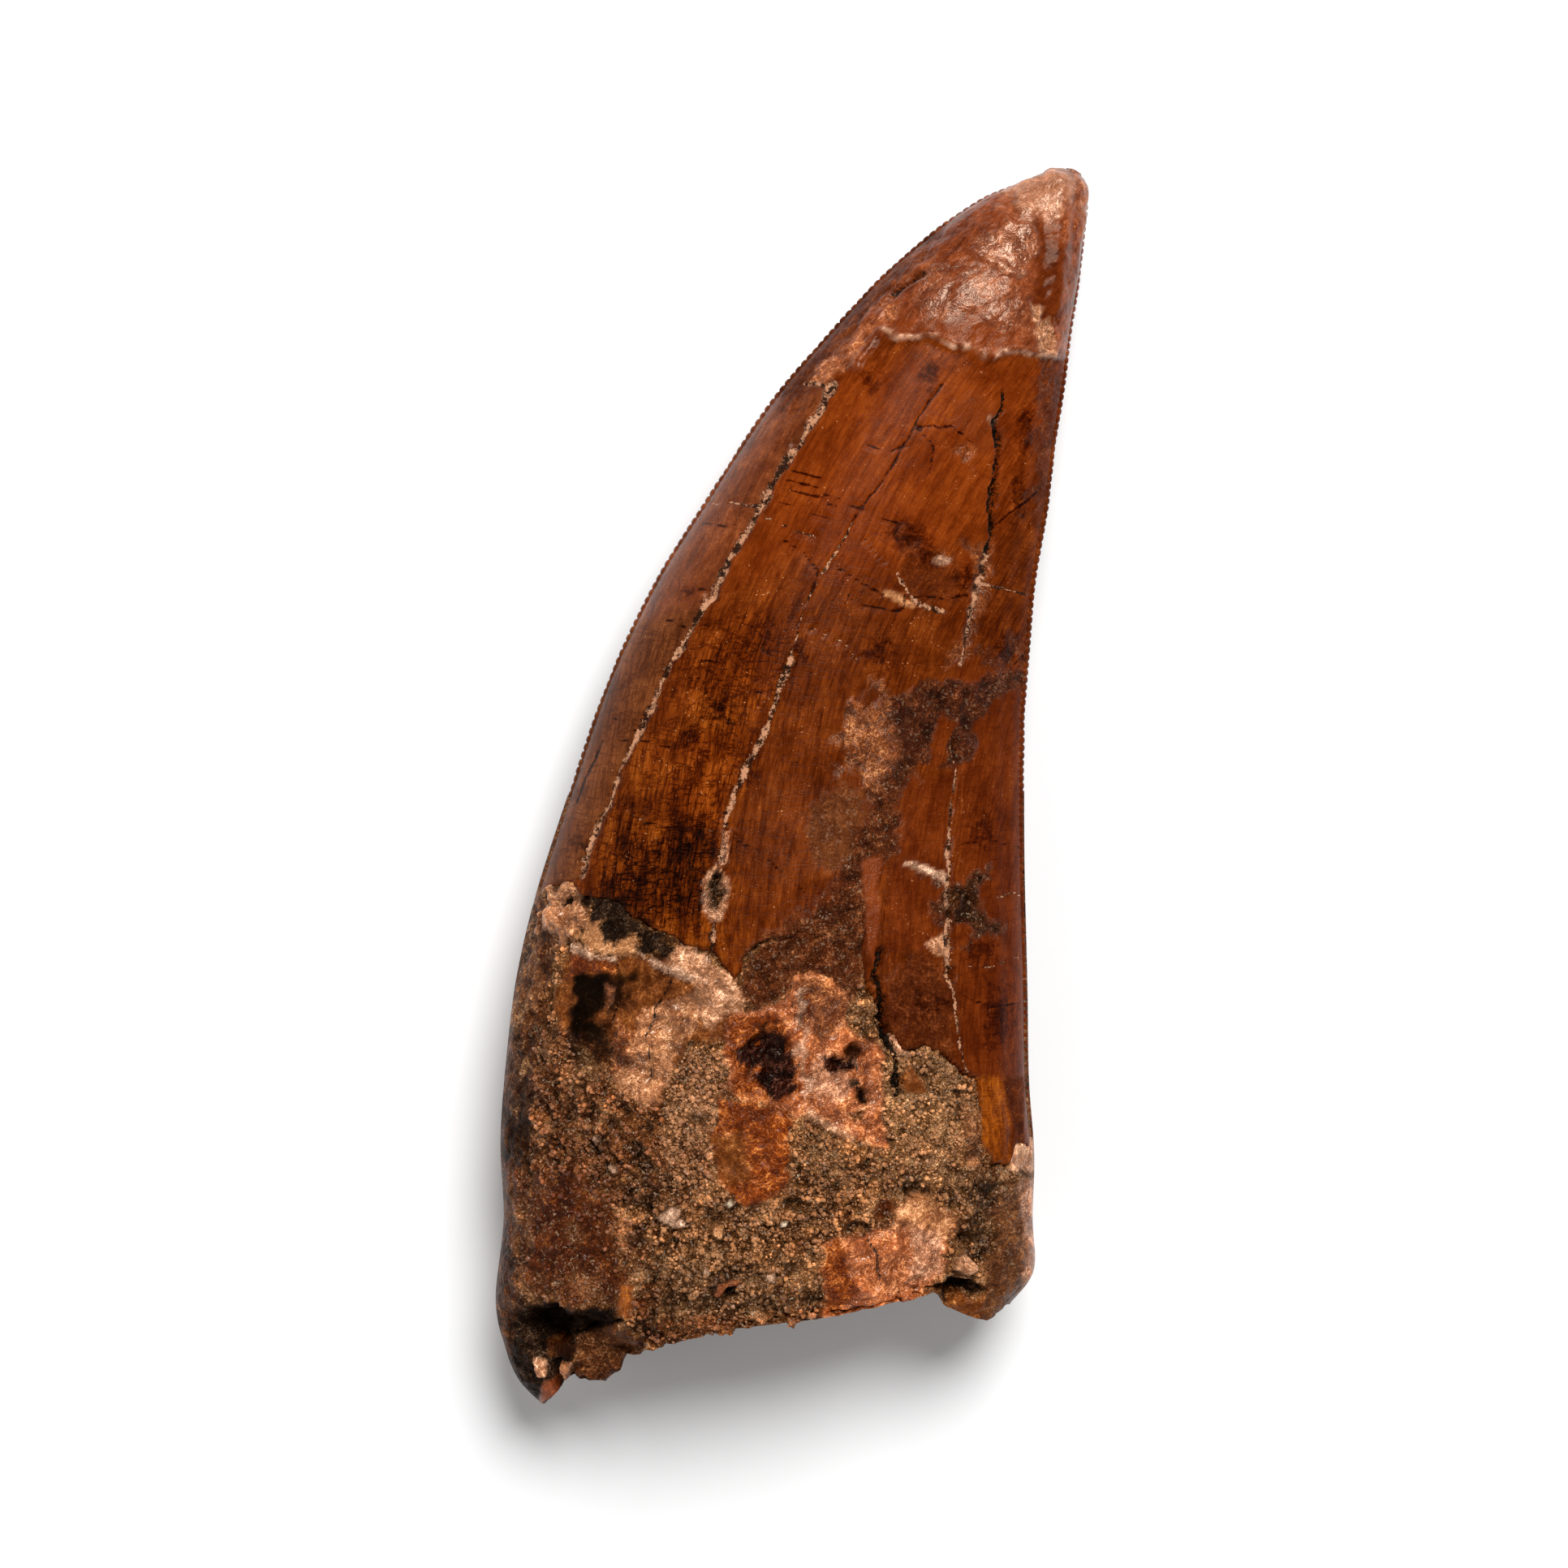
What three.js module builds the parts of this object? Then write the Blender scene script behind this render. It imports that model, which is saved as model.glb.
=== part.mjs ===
// Fossil theropod tooth, lying on its side: a recurved, blade-like crown with
// serrated edges on a rough root whose end is broken off. It is 44 mm wide,
// 91 mm long and 17 mm thick.
// Millimetres. X runs across the tooth to its hollow-curved edge, Y from the
// broken root to the tip, Z up out of the face that is seen.
import * as THREE from 'three';

// Driving dimensions
const DENTICLE_PITCH = 0.556;     // 9 denticles in 5 mm on the hollow-curved edge
const DENTICLE_DEPTH = 0.17;      // depth of the slot between two denticles
const DENTICLES_PER_RING = 2;     // denticles from one ring of the mesh to the next
const COLUMNS = 26;               // spans across each face
const END_ROWS = 6;               // spans across the broken end, from face to face
const LENGTH_STEPS = 2000;        // steps in which the length of the edge is measured

// Sections from the broken end to the tip. left and right are the edge points
// in plan, half is half the thickness, crest the place of the thickest line
// between the edges (0 left, 1 right), round the fullness of the left and right
// flank (0.5 elliptical, 1 parabolic), lift the clearance under the face that
// the tooth lies on, below 0 where lumps and worn places carry it.
const SECTIONS = [
  { left: [-18.6, -45.7], right: [16.2, -38.2], half: 7.6, crest: 0.46, round: [0.5, 0.5], lift: -0.5 },
  { left: [-20.2, -44.0], right: [17.5, -36.6], half: 7.9, crest: 0.46, round: [0.5, 0.5], lift: -0.6 },
  { left: [-21.2, -41.6], right: [17.9, -35.1], half: 8.1, crest: 0.46, round: [0.5, 0.5], lift: -0.6 },
  { left: [-21.9, -38.0], right: [17.7, -32.0], half: 8.3, crest: 0.45, round: [0.5, 0.52], lift: -0.5 },
  { left: [-21.3, -32.0], right: [17.8, -27.2], half: 8.4, crest: 0.44, round: [0.52, 0.54], lift: -0.25 },
  { left: [-21.5, -26.0], right: [17.4, -21.8], half: 8.4, crest: 0.43, round: [0.54, 0.58], lift: 0.05 },
  { left: [-21.0, -19.4], right: [17.3, -15.8], half: 8.2, crest: 0.42, round: [0.56, 0.64], lift: 0.25 },
  { left: [-20.3, -14.0], right: [17.2, -11.0], half: 8.05, crest: 0.41, round: [0.58, 0.7], lift: 0.2 },
  { left: [-18.9, -8.0], right: [17.1, -5.9], half: 7.9, crest: 0.4, round: [0.6, 0.76], lift: 0.05 },
  { left: [-16.6, -0.8], right: [17.1, -0.5], half: 7.65, crest: 0.39, round: [0.62, 0.8], lift: -0.15 },
  { left: [-13.7, 7.6], right: [17.2, 5.2], half: 7.2, crest: 0.38, round: [0.62, 0.82], lift: 0.2 },
  { left: [-10.3, 14.8], right: [17.6, 10.6], half: 6.6, crest: 0.38, round: [0.62, 0.82], lift: 0.75 },
  { left: [-6.6, 20.8], right: [18.0, 15.1], half: 6.0, crest: 0.39, round: [0.62, 0.8], lift: 1.3 },
  { left: [-1.9, 28.0], right: [18.9, 20.2], half: 5.35, crest: 0.4, round: [0.62, 0.78], lift: 1.75 },
  { left: [2.1, 32.8], right: [19.5, 25.0], half: 4.8, crest: 0.42, round: [0.6, 0.74], lift: 1.95 },
  { left: [6.5, 37.6], right: [20.2, 29.5], half: 4.2, crest: 0.45, round: [0.6, 0.7], lift: 2.1 },
  { left: [10.6, 41.2], right: [20.7, 33.4], half: 3.6, crest: 0.48, round: [0.58, 0.66], lift: 2.2 },
  { left: [14.1, 43.6], right: [21.3, 37.0], half: 3.0, crest: 0.5, round: [0.56, 0.6], lift: 2.35 },
  { left: [16.9, 44.8], right: [21.7, 40.3], half: 2.4, crest: 0.5, round: [0.54, 0.56], lift: 2.6 },
  { left: [18.7, 45.5], right: [22.0, 43.6], half: 1.8, crest: 0.5, round: [0.5, 0.5], lift: 2.95 },
  { left: [20.1, 45.7], right: [21.4, 45.0], half: 1.0, crest: 0.5, round: [0.5, 0.5], lift: 3.55 },
];
const APEX = { at: [20.85, 45.62], height: 4.6 };

// Broken end of the root in plan, from its left corner to its right one
const BROKEN_END = [
  [-18.6, -45.7], [-17.1, -44.7], [-16.6, -43.8], [-13.8, -44.1], [-11.6, -41.8], [-9.5, -40.8],
  [-4.8, -39.4], [2.5, -38.6], [7.4, -37.6], [9.6, -37.3], [11.2, -38.3], [14.3, -39.3], [16.2, -38.2],
];
const BROKEN_END_REACH = 0.15;    // share of the length over which the sections follow it
const END_HOLLOW = 3.0;           // how deep the matrix in the pulp cavity sits behind the rim
const END_RIM = 0.2;              // how gently the rim turns into that hollow

// Lower border of the enamel, from the left edge to the right one
const ENAMEL_BORDER = [
  [-23, -8.4], [-18.8, -7.7], [-16.7, -7.1], [-14.3, -8.9], [-9.5, -11.0], [-5.9, -12.2], [-4.4, -14.0],
  [-2.9, -11.9], [0.8, -10.4], [5.0, -8.6], [5.0, -14.0], [6.8, -18.8], [12.2, -20.6], [13.7, -23.0],
  [14.0, -26.9], [16.1, -27.5], [23, -26.9],
];
const ENAMEL_STEP = 0.45;         // height of the enamel above the root beside it
const ENAMEL_EDGE_REACH = 0.5;    // half width of the slope at that step

// Lumps of sandy matrix: how high they stand, how far apart they are, and the
// seed of their pattern
const FACE_LUMPS = { height: 0.55, spacing: 3.4, seed: 3 };
const FACE_GRIT = { height: 0.22, spacing: 1.5, seed: 4 };
const UNDER_LUMPS = { height: 0.55, spacing: 3.4, seed: 21 };
const UNDER_GRIT = { height: 0.22, spacing: 1.5, seed: 22 };
const END_LUMPS = { height: 0.4, spacing: 2.4, seed: 13 };

// Wrinkled enamel at the tip: its lower ledge, then around the tip
const TIP_PLATE = [
  [6.4, 32.5], [9.5, 32.5], [13.4, 31.6], [14.9, 30.9], [19.4, 31.6], [25, 31.6], [25, 48], [2, 48], [4, 36],
];
const TIP_PLATE_STEP = 0.38;
const TIP_PLATE_EDGE_REACH = 0.35;
const TIP_WRINKLES = { height: 0.12, spacing: 1.7, seed: 9 };
const TIP_RIDGE = { path: [[19.0, 44.4], [19.0, 40.0], [18.3, 35.5], [17.6, 32]], height: 0.45, reach: 1.3 };
const TIP_GROOVE = { path: [[20.0, 41.0], [19.9, 37.0], [19.5, 32.5]], height: -0.35, reach: 0.8 };

// Dark lumpy matrix that stands on the enamel
const MATRIX_PATCHES = [
  [[7.4, 4.0], [9.0, 7.2], [13.0, 7.6], [17.0, 8.8], [17.0, 7.0], [14.0, 5.0], [13.0, 1.4], [9.8, 0.4]],
  [[11.0, -6.2], [14.4, -6.0], [14.6, -10.2], [12.0, -10.6]],
  [[7.8, 0.8], [8.4, -1.6], [6.4, -5.0], [5.4, -8.8], [3.4, -9.4], [5.0, -5.0], [6.6, -1.0]],
];
const MATRIX_STEP = 0.3;
const MATRIX_EDGE_REACH = 0.5;
const MATRIX_LUMPS = { height: 0.25, spacing: 1.5, seed: 5 };

// Long cracks down the face: path, depth and half width
const CRACK_DEPTH = 0.34;
const CRACK_REACH = 0.75;
const FACE_CRACKS = [
  [[2.9, 29.3], [0.5, 24.9], [-4.4, 16.9], [-8.6, 9.4], [-11.9, 2.5], [-14.6, -3.8], [-15.3, -6.7]],
  [[11.0, 29.2], [5.6, 20.8], [2.6, 15.7], [0.5, 11.5], [-1.7, 5.2], [-3.8, 0.1], [-5.6, -8.0], [-5.9, -12]],
  [[15.5, 28.6], [15.0, 23.8], [14.4, 17.2], [13.4, 13.9], [11.9, 8.8]],
  [[11.6, 2.5], [11.7, -1.1], [11.3, -8.6], [11.4, -13.7], [12.2, -19.4]],
  [[-6.3, 20.9], [-2.6, 19.6], [1.4, 18.1]],
  [[-13.2, -1.3], [-10.7, -2.6], [-5.1, -3.7]],
];
const UNDER_CRACKS = [
  [[7.5, 31.0], [3.5, 22.0], [-1.5, 12.0], [-6.5, 2.0], [-9.0, -8.0]],
  [[14.5, 24.0], [11.5, 14.0], [9.5, 4.0], [8.0, -6.0], [8.5, -14.0]],
  [[-12.5, 4.0], [-5.0, 1.5], [1.5, 2.5]],
];

// Holes in the root: centre, radius and depth. The floor of a hole reaches to
// PIT_FLOOR of its radius, and its wall ends at PIT_RIM of it.
const PIT_FLOOR = 0.35;
const PIT_RIM = 1.1;
const FACE_PITS = [
  { at: [-2.0, -20.0], radius: 2.9, depth: 1.5 },
  { at: [4.0, -19.6], radius: 1.5, depth: 1.1 },
  { at: [5.3, -22.7], radius: 1.2, depth: 0.8 },
  { at: [9.8, -29.0], radius: 1.5, depth: 0.9 },
  { at: [12.8, -33.2], radius: 1.6, depth: 1.0 },
  { at: [10.6, -36.6], radius: 1.5, depth: 1.3 },
  { at: [-18.0, -39.0], radius: 1.8, depth: 2.2 },
];
const UNDER_PITS = [
  { at: [-8.0, -24.0], radius: 2.2, depth: 0.9 },
  { at: [6.5, -30.0], radius: 1.8, depth: 0.8 },
];

// The corner of the root where the face is broken back to the inner wall
const BROKEN_CORNER = [
  [-23, -37.3], [-19.7, -37.9], [-16.7, -38.0], [-14.3, -39.3], [-10.6, -41.0], [-10.6, -48], [-23, -48],
];
const BROKEN_CORNER_DROP = 0.52;  // share of the height lost there
const BROKEN_CORNER_SLOPE = 1.6;  // width of the broken slope down to it

// Hollow along the middle of the root's under face: it fades out towards the
// crown, at a share of the length, and reach is a share of the width
const ROOT_WAIST = { depth: 1.3, reach: 0.16, fadeStart: 0.05, fadeEnd: 0.5 };

// What the tooth lies on: two worn lumps of matrix under the root, and the
// swollen middle of the crown
const RESTING_LUMPS = [
  { at: [-12.0, -37.0], height: 1.6, reach: 4.0 },
  { at: [10.0, -32.0], height: 2.4, reach: 4.0 },
  { at: [4.0, 3.0], height: 1.1, reach: 6.0 },
];

// Shallow groove beside the hollow-curved edge, and the stretches over which
// the denticles fade: above the lower border of the enamel and below the tip
const CARINA_GROOVE = { inset: 1.25, depth: 0.28, reach: 0.55 };
const DENTICLE_FADE = [0.2, 2.5];
const DENTICLE_TIP_FADE = [44.2, 45.2];
const EDGE_RELIEF_SHARE = 2;      // how fast the relief grows with the height of the section

const clamp01 = (value) => Math.min(1, Math.max(0, value));

function smoothStep(low, high, value) {
  const share = clamp01((value - low) / (high - low));
  return share * share * (3 - 2 * share);
}

// Catmull-Rom curve through a list of numbers, at place from 0 to 1
function splineValue(values, place) {
  const scaled = clamp01(place) * (values.length - 1);
  const index = Math.min(Math.floor(scaled), values.length - 2);
  const part = scaled - index;
  const before = values[Math.max(index - 1, 0)];
  const start = values[index];
  const end = values[index + 1];
  const after = values[Math.min(index + 2, values.length - 1)];
  const startSlope = (end - before) / 2;
  const endSlope = (after - start) / 2;
  const cubic = (2 * start - 2 * end + startSlope + endSlope) * part ** 3;
  const square = (-3 * start + 3 * end - 2 * startSlope - endSlope) * part ** 2;
  return cubic + square + startSlope * part + start;
}

// Straight interpolation of y over x through points sorted by x
function polylineHeight(points, x) {
  let index = 0;
  while (index < points.length - 2 && x > points[index + 1][0]) {
    index += 1;
  }
  const [x0, y0] = points[index];
  const [x1, y1] = points[index + 1];
  return y0 + (y1 - y0) * clamp01((x - x0) / (x1 - x0));
}

function distanceToSegment(x, y, [x0, y0], [x1, y1]) {
  const run = [x1 - x0, y1 - y0];
  const share = clamp01(((x - x0) * run[0] + (y - y0) * run[1]) / (run[0] ** 2 + run[1] ** 2));
  return Math.hypot(x - x0 - share * run[0], y - y0 - share * run[1]);
}

function distanceToPath(x, y, path) {
  let nearest = Infinity;
  for (let index = 0; index + 1 < path.length; index += 1) {
    nearest = Math.min(nearest, distanceToSegment(x, y, path[index], path[index + 1]));
  }
  return nearest;
}

// Distance to the border of a region, positive inside it
function depthInside(x, y, region) {
  let inside = false;
  for (let index = 0, last = region.length - 1; index < region.length; last = index, index += 1) {
    const [x0, y0] = region[index];
    const [x1, y1] = region[last];
    if ((y0 > y) !== (y1 > y) && x < ((x1 - x0) * (y - y0)) / (y1 - y0) + x0) {
      inside = !inside;
    }
  }
  const distance = distanceToPath(x, y, [...region, region[0]]);
  return inside ? distance : -distance;
}

// Large odd numbers that scatter the points of the lumps' lattice
const COLUMN_MIX = 374761393;
const ROW_MIX = 668265263;
const SEED_MIX = 1274126177;
const LAST_MIX = 1103515245;

// Repeatable number from 0 to 1 for a point of a whole-number lattice
function latticeValue(column, row, seed) {
  let mixed = Math.imul(column, COLUMN_MIX) + Math.imul(row, ROW_MIX) + Math.imul(seed, SEED_MIX);
  mixed = Math.imul(mixed ^ (mixed >>> 13), LAST_MIX);
  return ((mixed ^ (mixed >>> 16)) >>> 0) / 2 ** 32;
}

// Smooth lumps, up to their height above and below the surface
function lumpRelief(x, y, { height, spacing, seed }) {
  const column = Math.floor(x / spacing);
  const row = Math.floor(y / spacing);
  const across = smoothStep(0, 1, x / spacing - column);
  const along = smoothStep(0, 1, y / spacing - row);
  const blendRow = (line) => (
    THREE.MathUtils.lerp(latticeValue(column, line, seed), latticeValue(column + 1, line, seed), across)
  );
  return height * (2 * THREE.MathUtils.lerp(blendRow(row), blendRow(row + 1), along) - 1);
}

// The whole crown: everything above the lower border of the enamel
const CROWN = [...ENAMEL_BORDER, [25, 50], [-25, 50]];

function crackRelief(x, y, cracks) {
  let relief = 0;
  for (const path of cracks) {
    const distance = distanceToPath(x, y, path);
    relief = Math.min(relief, -CRACK_DEPTH * Math.exp(-((distance / CRACK_REACH) ** 2)));
  }
  return relief;
}

function pitRelief(x, y, pits) {
  let relief = 0;
  for (const pit of pits) {
    const distance = Math.hypot(x - pit.at[0], y - pit.at[1]) / pit.radius;
    relief -= pit.depth * (1 - smoothStep(PIT_FLOOR, PIT_RIM, distance));
  }
  return relief;
}

// Share of a raised region: 0 outside it, 1 inside, with a slope at its border
function regionShare(x, y, region, reach) {
  return smoothStep(-reach, reach, depthInside(x, y, region));
}

// Enamel step at its lower border, and sandy lumps on the root below it
function rootRelief(x, y, large, small) {
  const onRoot = 1 - regionShare(x, y, CROWN, ENAMEL_EDGE_REACH);
  return onRoot * (lumpRelief(x, y, large) + lumpRelief(x, y, small) - ENAMEL_STEP);
}

function bandRelief(x, y, band) {
  return band.height * Math.exp(-((distanceToPath(x, y, band.path) / band.reach) ** 2));
}

// Relief of the face that is seen, as a change of height
function faceRelief(x, y) {
  let relief = rootRelief(x, y, FACE_LUMPS, FACE_GRIT);
  relief += pitRelief(x, y, FACE_PITS) + crackRelief(x, y, FACE_CRACKS);
  const onPlate = regionShare(x, y, TIP_PLATE, TIP_PLATE_EDGE_REACH);
  relief += onPlate * (TIP_PLATE_STEP + lumpRelief(x, y, TIP_WRINKLES));
  relief += bandRelief(x, y, TIP_RIDGE) + bandRelief(x, y, TIP_GROOVE);
  for (const patch of MATRIX_PATCHES) {
    const onPatch = regionShare(x, y, patch, MATRIX_EDGE_REACH);
    relief += onPatch * (MATRIX_STEP + lumpRelief(x, y, MATRIX_LUMPS));
  }
  return relief;
}

// Relief of the face that it lies on, positive away from the tooth
function underRelief(x, y) {
  let relief = rootRelief(x, y, UNDER_LUMPS, UNDER_GRIT);
  relief += pitRelief(x, y, UNDER_PITS) + crackRelief(x, y, UNDER_CRACKS);
  for (const lump of RESTING_LUMPS) {
    const distance = Math.hypot(x - lump.at[0], y - lump.at[1]) / lump.reach;
    relief += lump.height * Math.exp(-(distance ** 2));
  }
  return relief;
}

// Values of the section at a place from 0, the broken end, to 1, the tip
function sectionAt(place) {
  const read = (pick) => splineValue(SECTIONS.map(pick), place);
  return {
    place,
    left: [read((section) => section.left[0]), read((section) => section.left[1])],
    right: [read((section) => section.right[0]), read((section) => section.right[1])],
    half: read((section) => section.half),
    crest: read((section) => section.crest),
    round: [read((section) => section.round[0]), read((section) => section.round[1])],
    lift: read((section) => section.lift),
  };
}

// Height of a section above its middle plane, 1 on the crest and 0 at the edges
function fullness(section, across) {
  const onLeft = across < section.crest;
  const reach = onLeft ? section.crest : 1 - section.crest;
  const offset = Math.abs(across - section.crest) / reach;
  return Math.max(0, 1 - offset ** 2) ** section.round[onLeft ? 0 : 1];
}

// Point of a section in plan, bent near the end to follow the broken edge
function planPoint(section, across) {
  const x = THREE.MathUtils.lerp(section.left[0], section.right[0], across);
  const y = THREE.MathUtils.lerp(section.left[1], section.right[1], across);
  const start = SECTIONS[0];
  const straightEnd = THREE.MathUtils.lerp(start.left[1], start.right[1], across);
  const endX = THREE.MathUtils.lerp(start.left[0], start.right[0], across);
  const bend = (1 - clamp01(section.place / BROKEN_END_REACH)) ** 2;
  return [x, y + bend * (polylineHeight(BROKEN_END, endX) - straightEnd)];
}

const middleHeight = (section) => section.half + section.lift;

function facePoint(section, across) {
  const [x, y] = planPoint(section, across);
  const full = fullness(section, across);
  const corner = smoothStep(0, BROKEN_CORNER_SLOPE, depthInside(x, y, BROKEN_CORNER));
  const inset = (1 - across) * (section.right[0] - section.left[0]);
  const grooveShape = Math.exp(-(((inset - CARINA_GROOVE.inset) / CARINA_GROOVE.reach) ** 2));
  const rise = section.half * full * (1 - BROKEN_CORNER_DROP * corner);
  const relief = clamp01(EDGE_RELIEF_SHARE * full) * (faceRelief(x, y) - CARINA_GROOVE.depth * grooveShape);
  return [x, y, middleHeight(section) + rise + relief];
}

function underPoint(section, across) {
  const [x, y] = planPoint(section, across);
  const full = fullness(section, across);
  const waistShape = Math.exp(-(((across - 0.5) / ROOT_WAIST.reach) ** 2));
  const waistShare = 1 - smoothStep(ROOT_WAIST.fadeStart, ROOT_WAIST.fadeEnd, section.place);
  const waist = ROOT_WAIST.depth * waistShape * waistShare;
  const drop = section.half * full + clamp01(EDGE_RELIEF_SHARE * full) * underRelief(x, y) - waist;
  return [x, y, Math.max(0, middleHeight(section) - drop)];
}

// Denticles run on the edges of the crown and fade out where the enamel ends
function denticleShare(x, y) {
  return smoothStep(...DENTICLE_FADE, depthInside(x, y, CROWN)) * (1 - smoothStep(...DENTICLE_TIP_FADE, y));
}

function edgePoint(section, side, slot) {
  const point = section[side];
  const other = section[side === 'left' ? 'right' : 'left'];
  const width = Math.hypot(other[0] - point[0], other[1] - point[1]);
  const inward = (DENTICLE_DEPTH * slot * denticleShare(point[0], point[1])) / width;
  const x = point[0] + inward * (other[0] - point[0]);
  const y = point[1] + inward * (other[1] - point[1]);
  return [x, y, middleHeight(section)];
}

// Places of the rings, equally far apart along the hollow-curved edge
function ringPlaces() {
  const steps = LENGTH_STEPS;
  const lengths = [0];
  let previous = sectionAt(0).right;
  for (let step = 1; step <= steps; step += 1) {
    const point = sectionAt(step / steps).right;
    lengths.push(lengths[step - 1] + Math.hypot(point[0] - previous[0], point[1] - previous[1]));
    previous = point;
  }
  const total = lengths[steps];
  const ringCount = Math.round(total / (DENTICLE_PITCH * DENTICLES_PER_RING));
  const places = [];
  let step = 0;
  for (let ring = 0; ring <= ringCount; ring += 1) {
    while (step < steps && lengths[step + 1] < (total * ring) / ringCount) {
      step += 1;
    }
    places.push(Math.min(1, step / steps));
  }
  return places;
}

// Columns lie closer together near the edges, where the flanks turn
function columnPlace(column) {
  const even = column / COLUMNS;
  const turned = (1 - Math.cos(Math.PI * even)) / 2;
  return (even + turned) / 2;
}

class ClosedMesh {
  constructor() {
    this.positions = [];
    this.indices = [];
  }

  vertex([x, y, z]) {
    this.positions.push(x, y, z);
    return this.positions.length / 3 - 1;
  }

  triangle(a, b, c) {
    if (a !== b && b !== c && c !== a) {
      this.indices.push(a, b, c);
    }
  }

  quad(a, b, c, d) {
    this.triangle(a, b, c);
    this.triangle(a, c, d);
  }

  // Strip between a fine row and one coarse span beside it
  fan(fine, nearCoarse, farCoarse, flipped) {
    const middle = Math.floor(fine.length / 2);
    const add = (a, b, c) => (flipped ? this.triangle(a, c, b) : this.triangle(a, b, c));
    for (let index = 0; index + 1 < fine.length; index += 1) {
      add(fine[index], index < middle ? nearCoarse : farCoarse, fine[index + 1]);
    }
    add(fine[middle], nearCoarse, farCoarse);
  }

  geometry() {
    const geometry = new THREE.BufferGeometry();
    geometry.setAttribute('position', new THREE.Float32BufferAttribute(this.positions, 3));
    geometry.setIndex(this.indices);
    geometry.computeVertexNormals();
    return geometry;
  }
}

// One edge: ring vertices on it, and the fine row between two rings
function addEdge(mesh, places, side) {
  const fineSteps = 2 * DENTICLES_PER_RING;
  const rows = [];
  let first = mesh.vertex(edgePoint(sectionAt(places[0]), side, 1));
  for (let ring = 0; ring + 1 < places.length; ring += 1) {
    const row = [first];
    for (let step = 1; step <= fineSteps; step += 1) {
      const place = THREE.MathUtils.lerp(places[ring], places[ring + 1], step / fineSteps);
      row.push(mesh.vertex(edgePoint(sectionAt(place), side, 1 - (step % 2))));
    }
    rows.push(row);
    first = row[fineSteps];
  }
  return rows;
}

function addFace(mesh, places, pointOf, leftRows, rightRows) {
  return places.map((place, ring) => {
    const section = sectionAt(place);
    const edgeIndex = (rows) => (ring < rows.length ? rows[ring][0] : rows[ring - 1].at(-1));
    const row = [edgeIndex(leftRows)];
    for (let column = 1; column < COLUMNS; column += 1) {
      row.push(mesh.vertex(pointOf(section, columnPlace(column))));
    }
    row.push(edgeIndex(rightRows));
    return row;
  });
}

function joinFace(mesh, grid, leftRows, rightRows, faceUp) {
  for (let ring = 0; ring + 1 < grid.length; ring += 1) {
    const near = grid[ring];
    const far = grid[ring + 1];
    mesh.fan(leftRows[ring], near[1], far[1], !faceUp);
    mesh.fan(rightRows[ring], near[COLUMNS - 1], far[COLUMNS - 1], faceUp);
    for (let column = 1; column + 1 < COLUMNS; column += 1) {
      if (faceUp) {
        mesh.quad(near[column], near[column + 1], far[column + 1], far[column]);
      } else {
        mesh.quad(near[column], far[column], far[column + 1], near[column + 1]);
      }
    }
  }
}

// The round tip: both faces close on one point beyond the last section
function joinTip(mesh, faceRow, underRow) {
  const apex = mesh.vertex([APEX.at[0], APEX.at[1], APEX.height]);
  for (let column = 0; column < COLUMNS; column += 1) {
    mesh.triangle(faceRow[column], faceRow[column + 1], apex);
    mesh.triangle(underRow[column + 1], underRow[column], apex);
  }
}

// The broken end: a rough rim around the matrix that fills the pulp cavity
function joinEnd(mesh, faceRow, underRow) {
  const corner = (row, column) => new THREE.Vector3().fromArray(mesh.positions, 3 * row[column]);
  const rows = [faceRow];
  for (let level = 1; level < END_ROWS; level += 1) {
    const share = level / END_ROWS;
    const row = [faceRow[0]];
    for (let column = 1; column < COLUMNS; column += 1) {
      const across = columnPlace(column);
      const point = corner(faceRow, column).lerp(corner(underRow, column), share);
      const rim = smoothStep(0, END_RIM, across * (1 - across)) * smoothStep(0, END_RIM, share * (1 - share));
      const depth = rim * (END_HOLLOW + lumpRelief(point.x, point.z, END_LUMPS));
      row.push(mesh.vertex([point.x, point.y + depth, point.z]));
    }
    row.push(faceRow[COLUMNS]);
    rows.push(row);
  }
  rows.push(underRow);
  for (let level = 0; level < END_ROWS; level += 1) {
    for (let column = 0; column < COLUMNS; column += 1) {
      const upper = rows[level];
      const lower = rows[level + 1];
      mesh.quad(lower[column], lower[column + 1], upper[column + 1], upper[column]);
    }
  }
}

function toothGeometry() {
  const mesh = new ClosedMesh();
  const places = ringPlaces();
  const leftRows = addEdge(mesh, places, 'left');
  const rightRows = addEdge(mesh, places, 'right');
  const face = addFace(mesh, places, facePoint, leftRows, rightRows);
  const under = addFace(mesh, places, underPoint, leftRows, rightRows);
  joinFace(mesh, face, leftRows, rightRows, true);
  joinFace(mesh, under, leftRows, rightRows, false);
  joinTip(mesh, face.at(-1), under.at(-1));
  joinEnd(mesh, face[0], under[0]);
  return mesh.geometry();
}

// The origin is under the middle of the tooth, on the surface that it lies on
function centredOnFloor(geometry) {
  geometry.computeBoundingBox();
  const { min, max } = geometry.boundingBox;
  geometry.translate(-(min.x + max.x) / 2, -(min.y + max.y) / 2, -min.z);
  return geometry;
}

const enamel = new THREE.MeshStandardMaterial({ color: 0x7a3614, roughness: 0.32, metalness: 0 });
const tooth = new THREE.Mesh(centredOnFloor(toothGeometry()), enamel);
tooth.name = 'tooth';

const specimen = new THREE.Group();
specimen.add(tooth);

export default specimen;
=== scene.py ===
"""Large fossil theropod tooth that lies on its side on a pale floor.

X runs across the tooth to its hollow-curved edge, Y from the broken root to the
tip, Z up out of the face that is seen. Shapes are worked out in millimetres and
become metres in put_mesh.
"""
import logging
import math
from dataclasses import dataclass
from enum import Enum
from itertools import combinations

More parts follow.
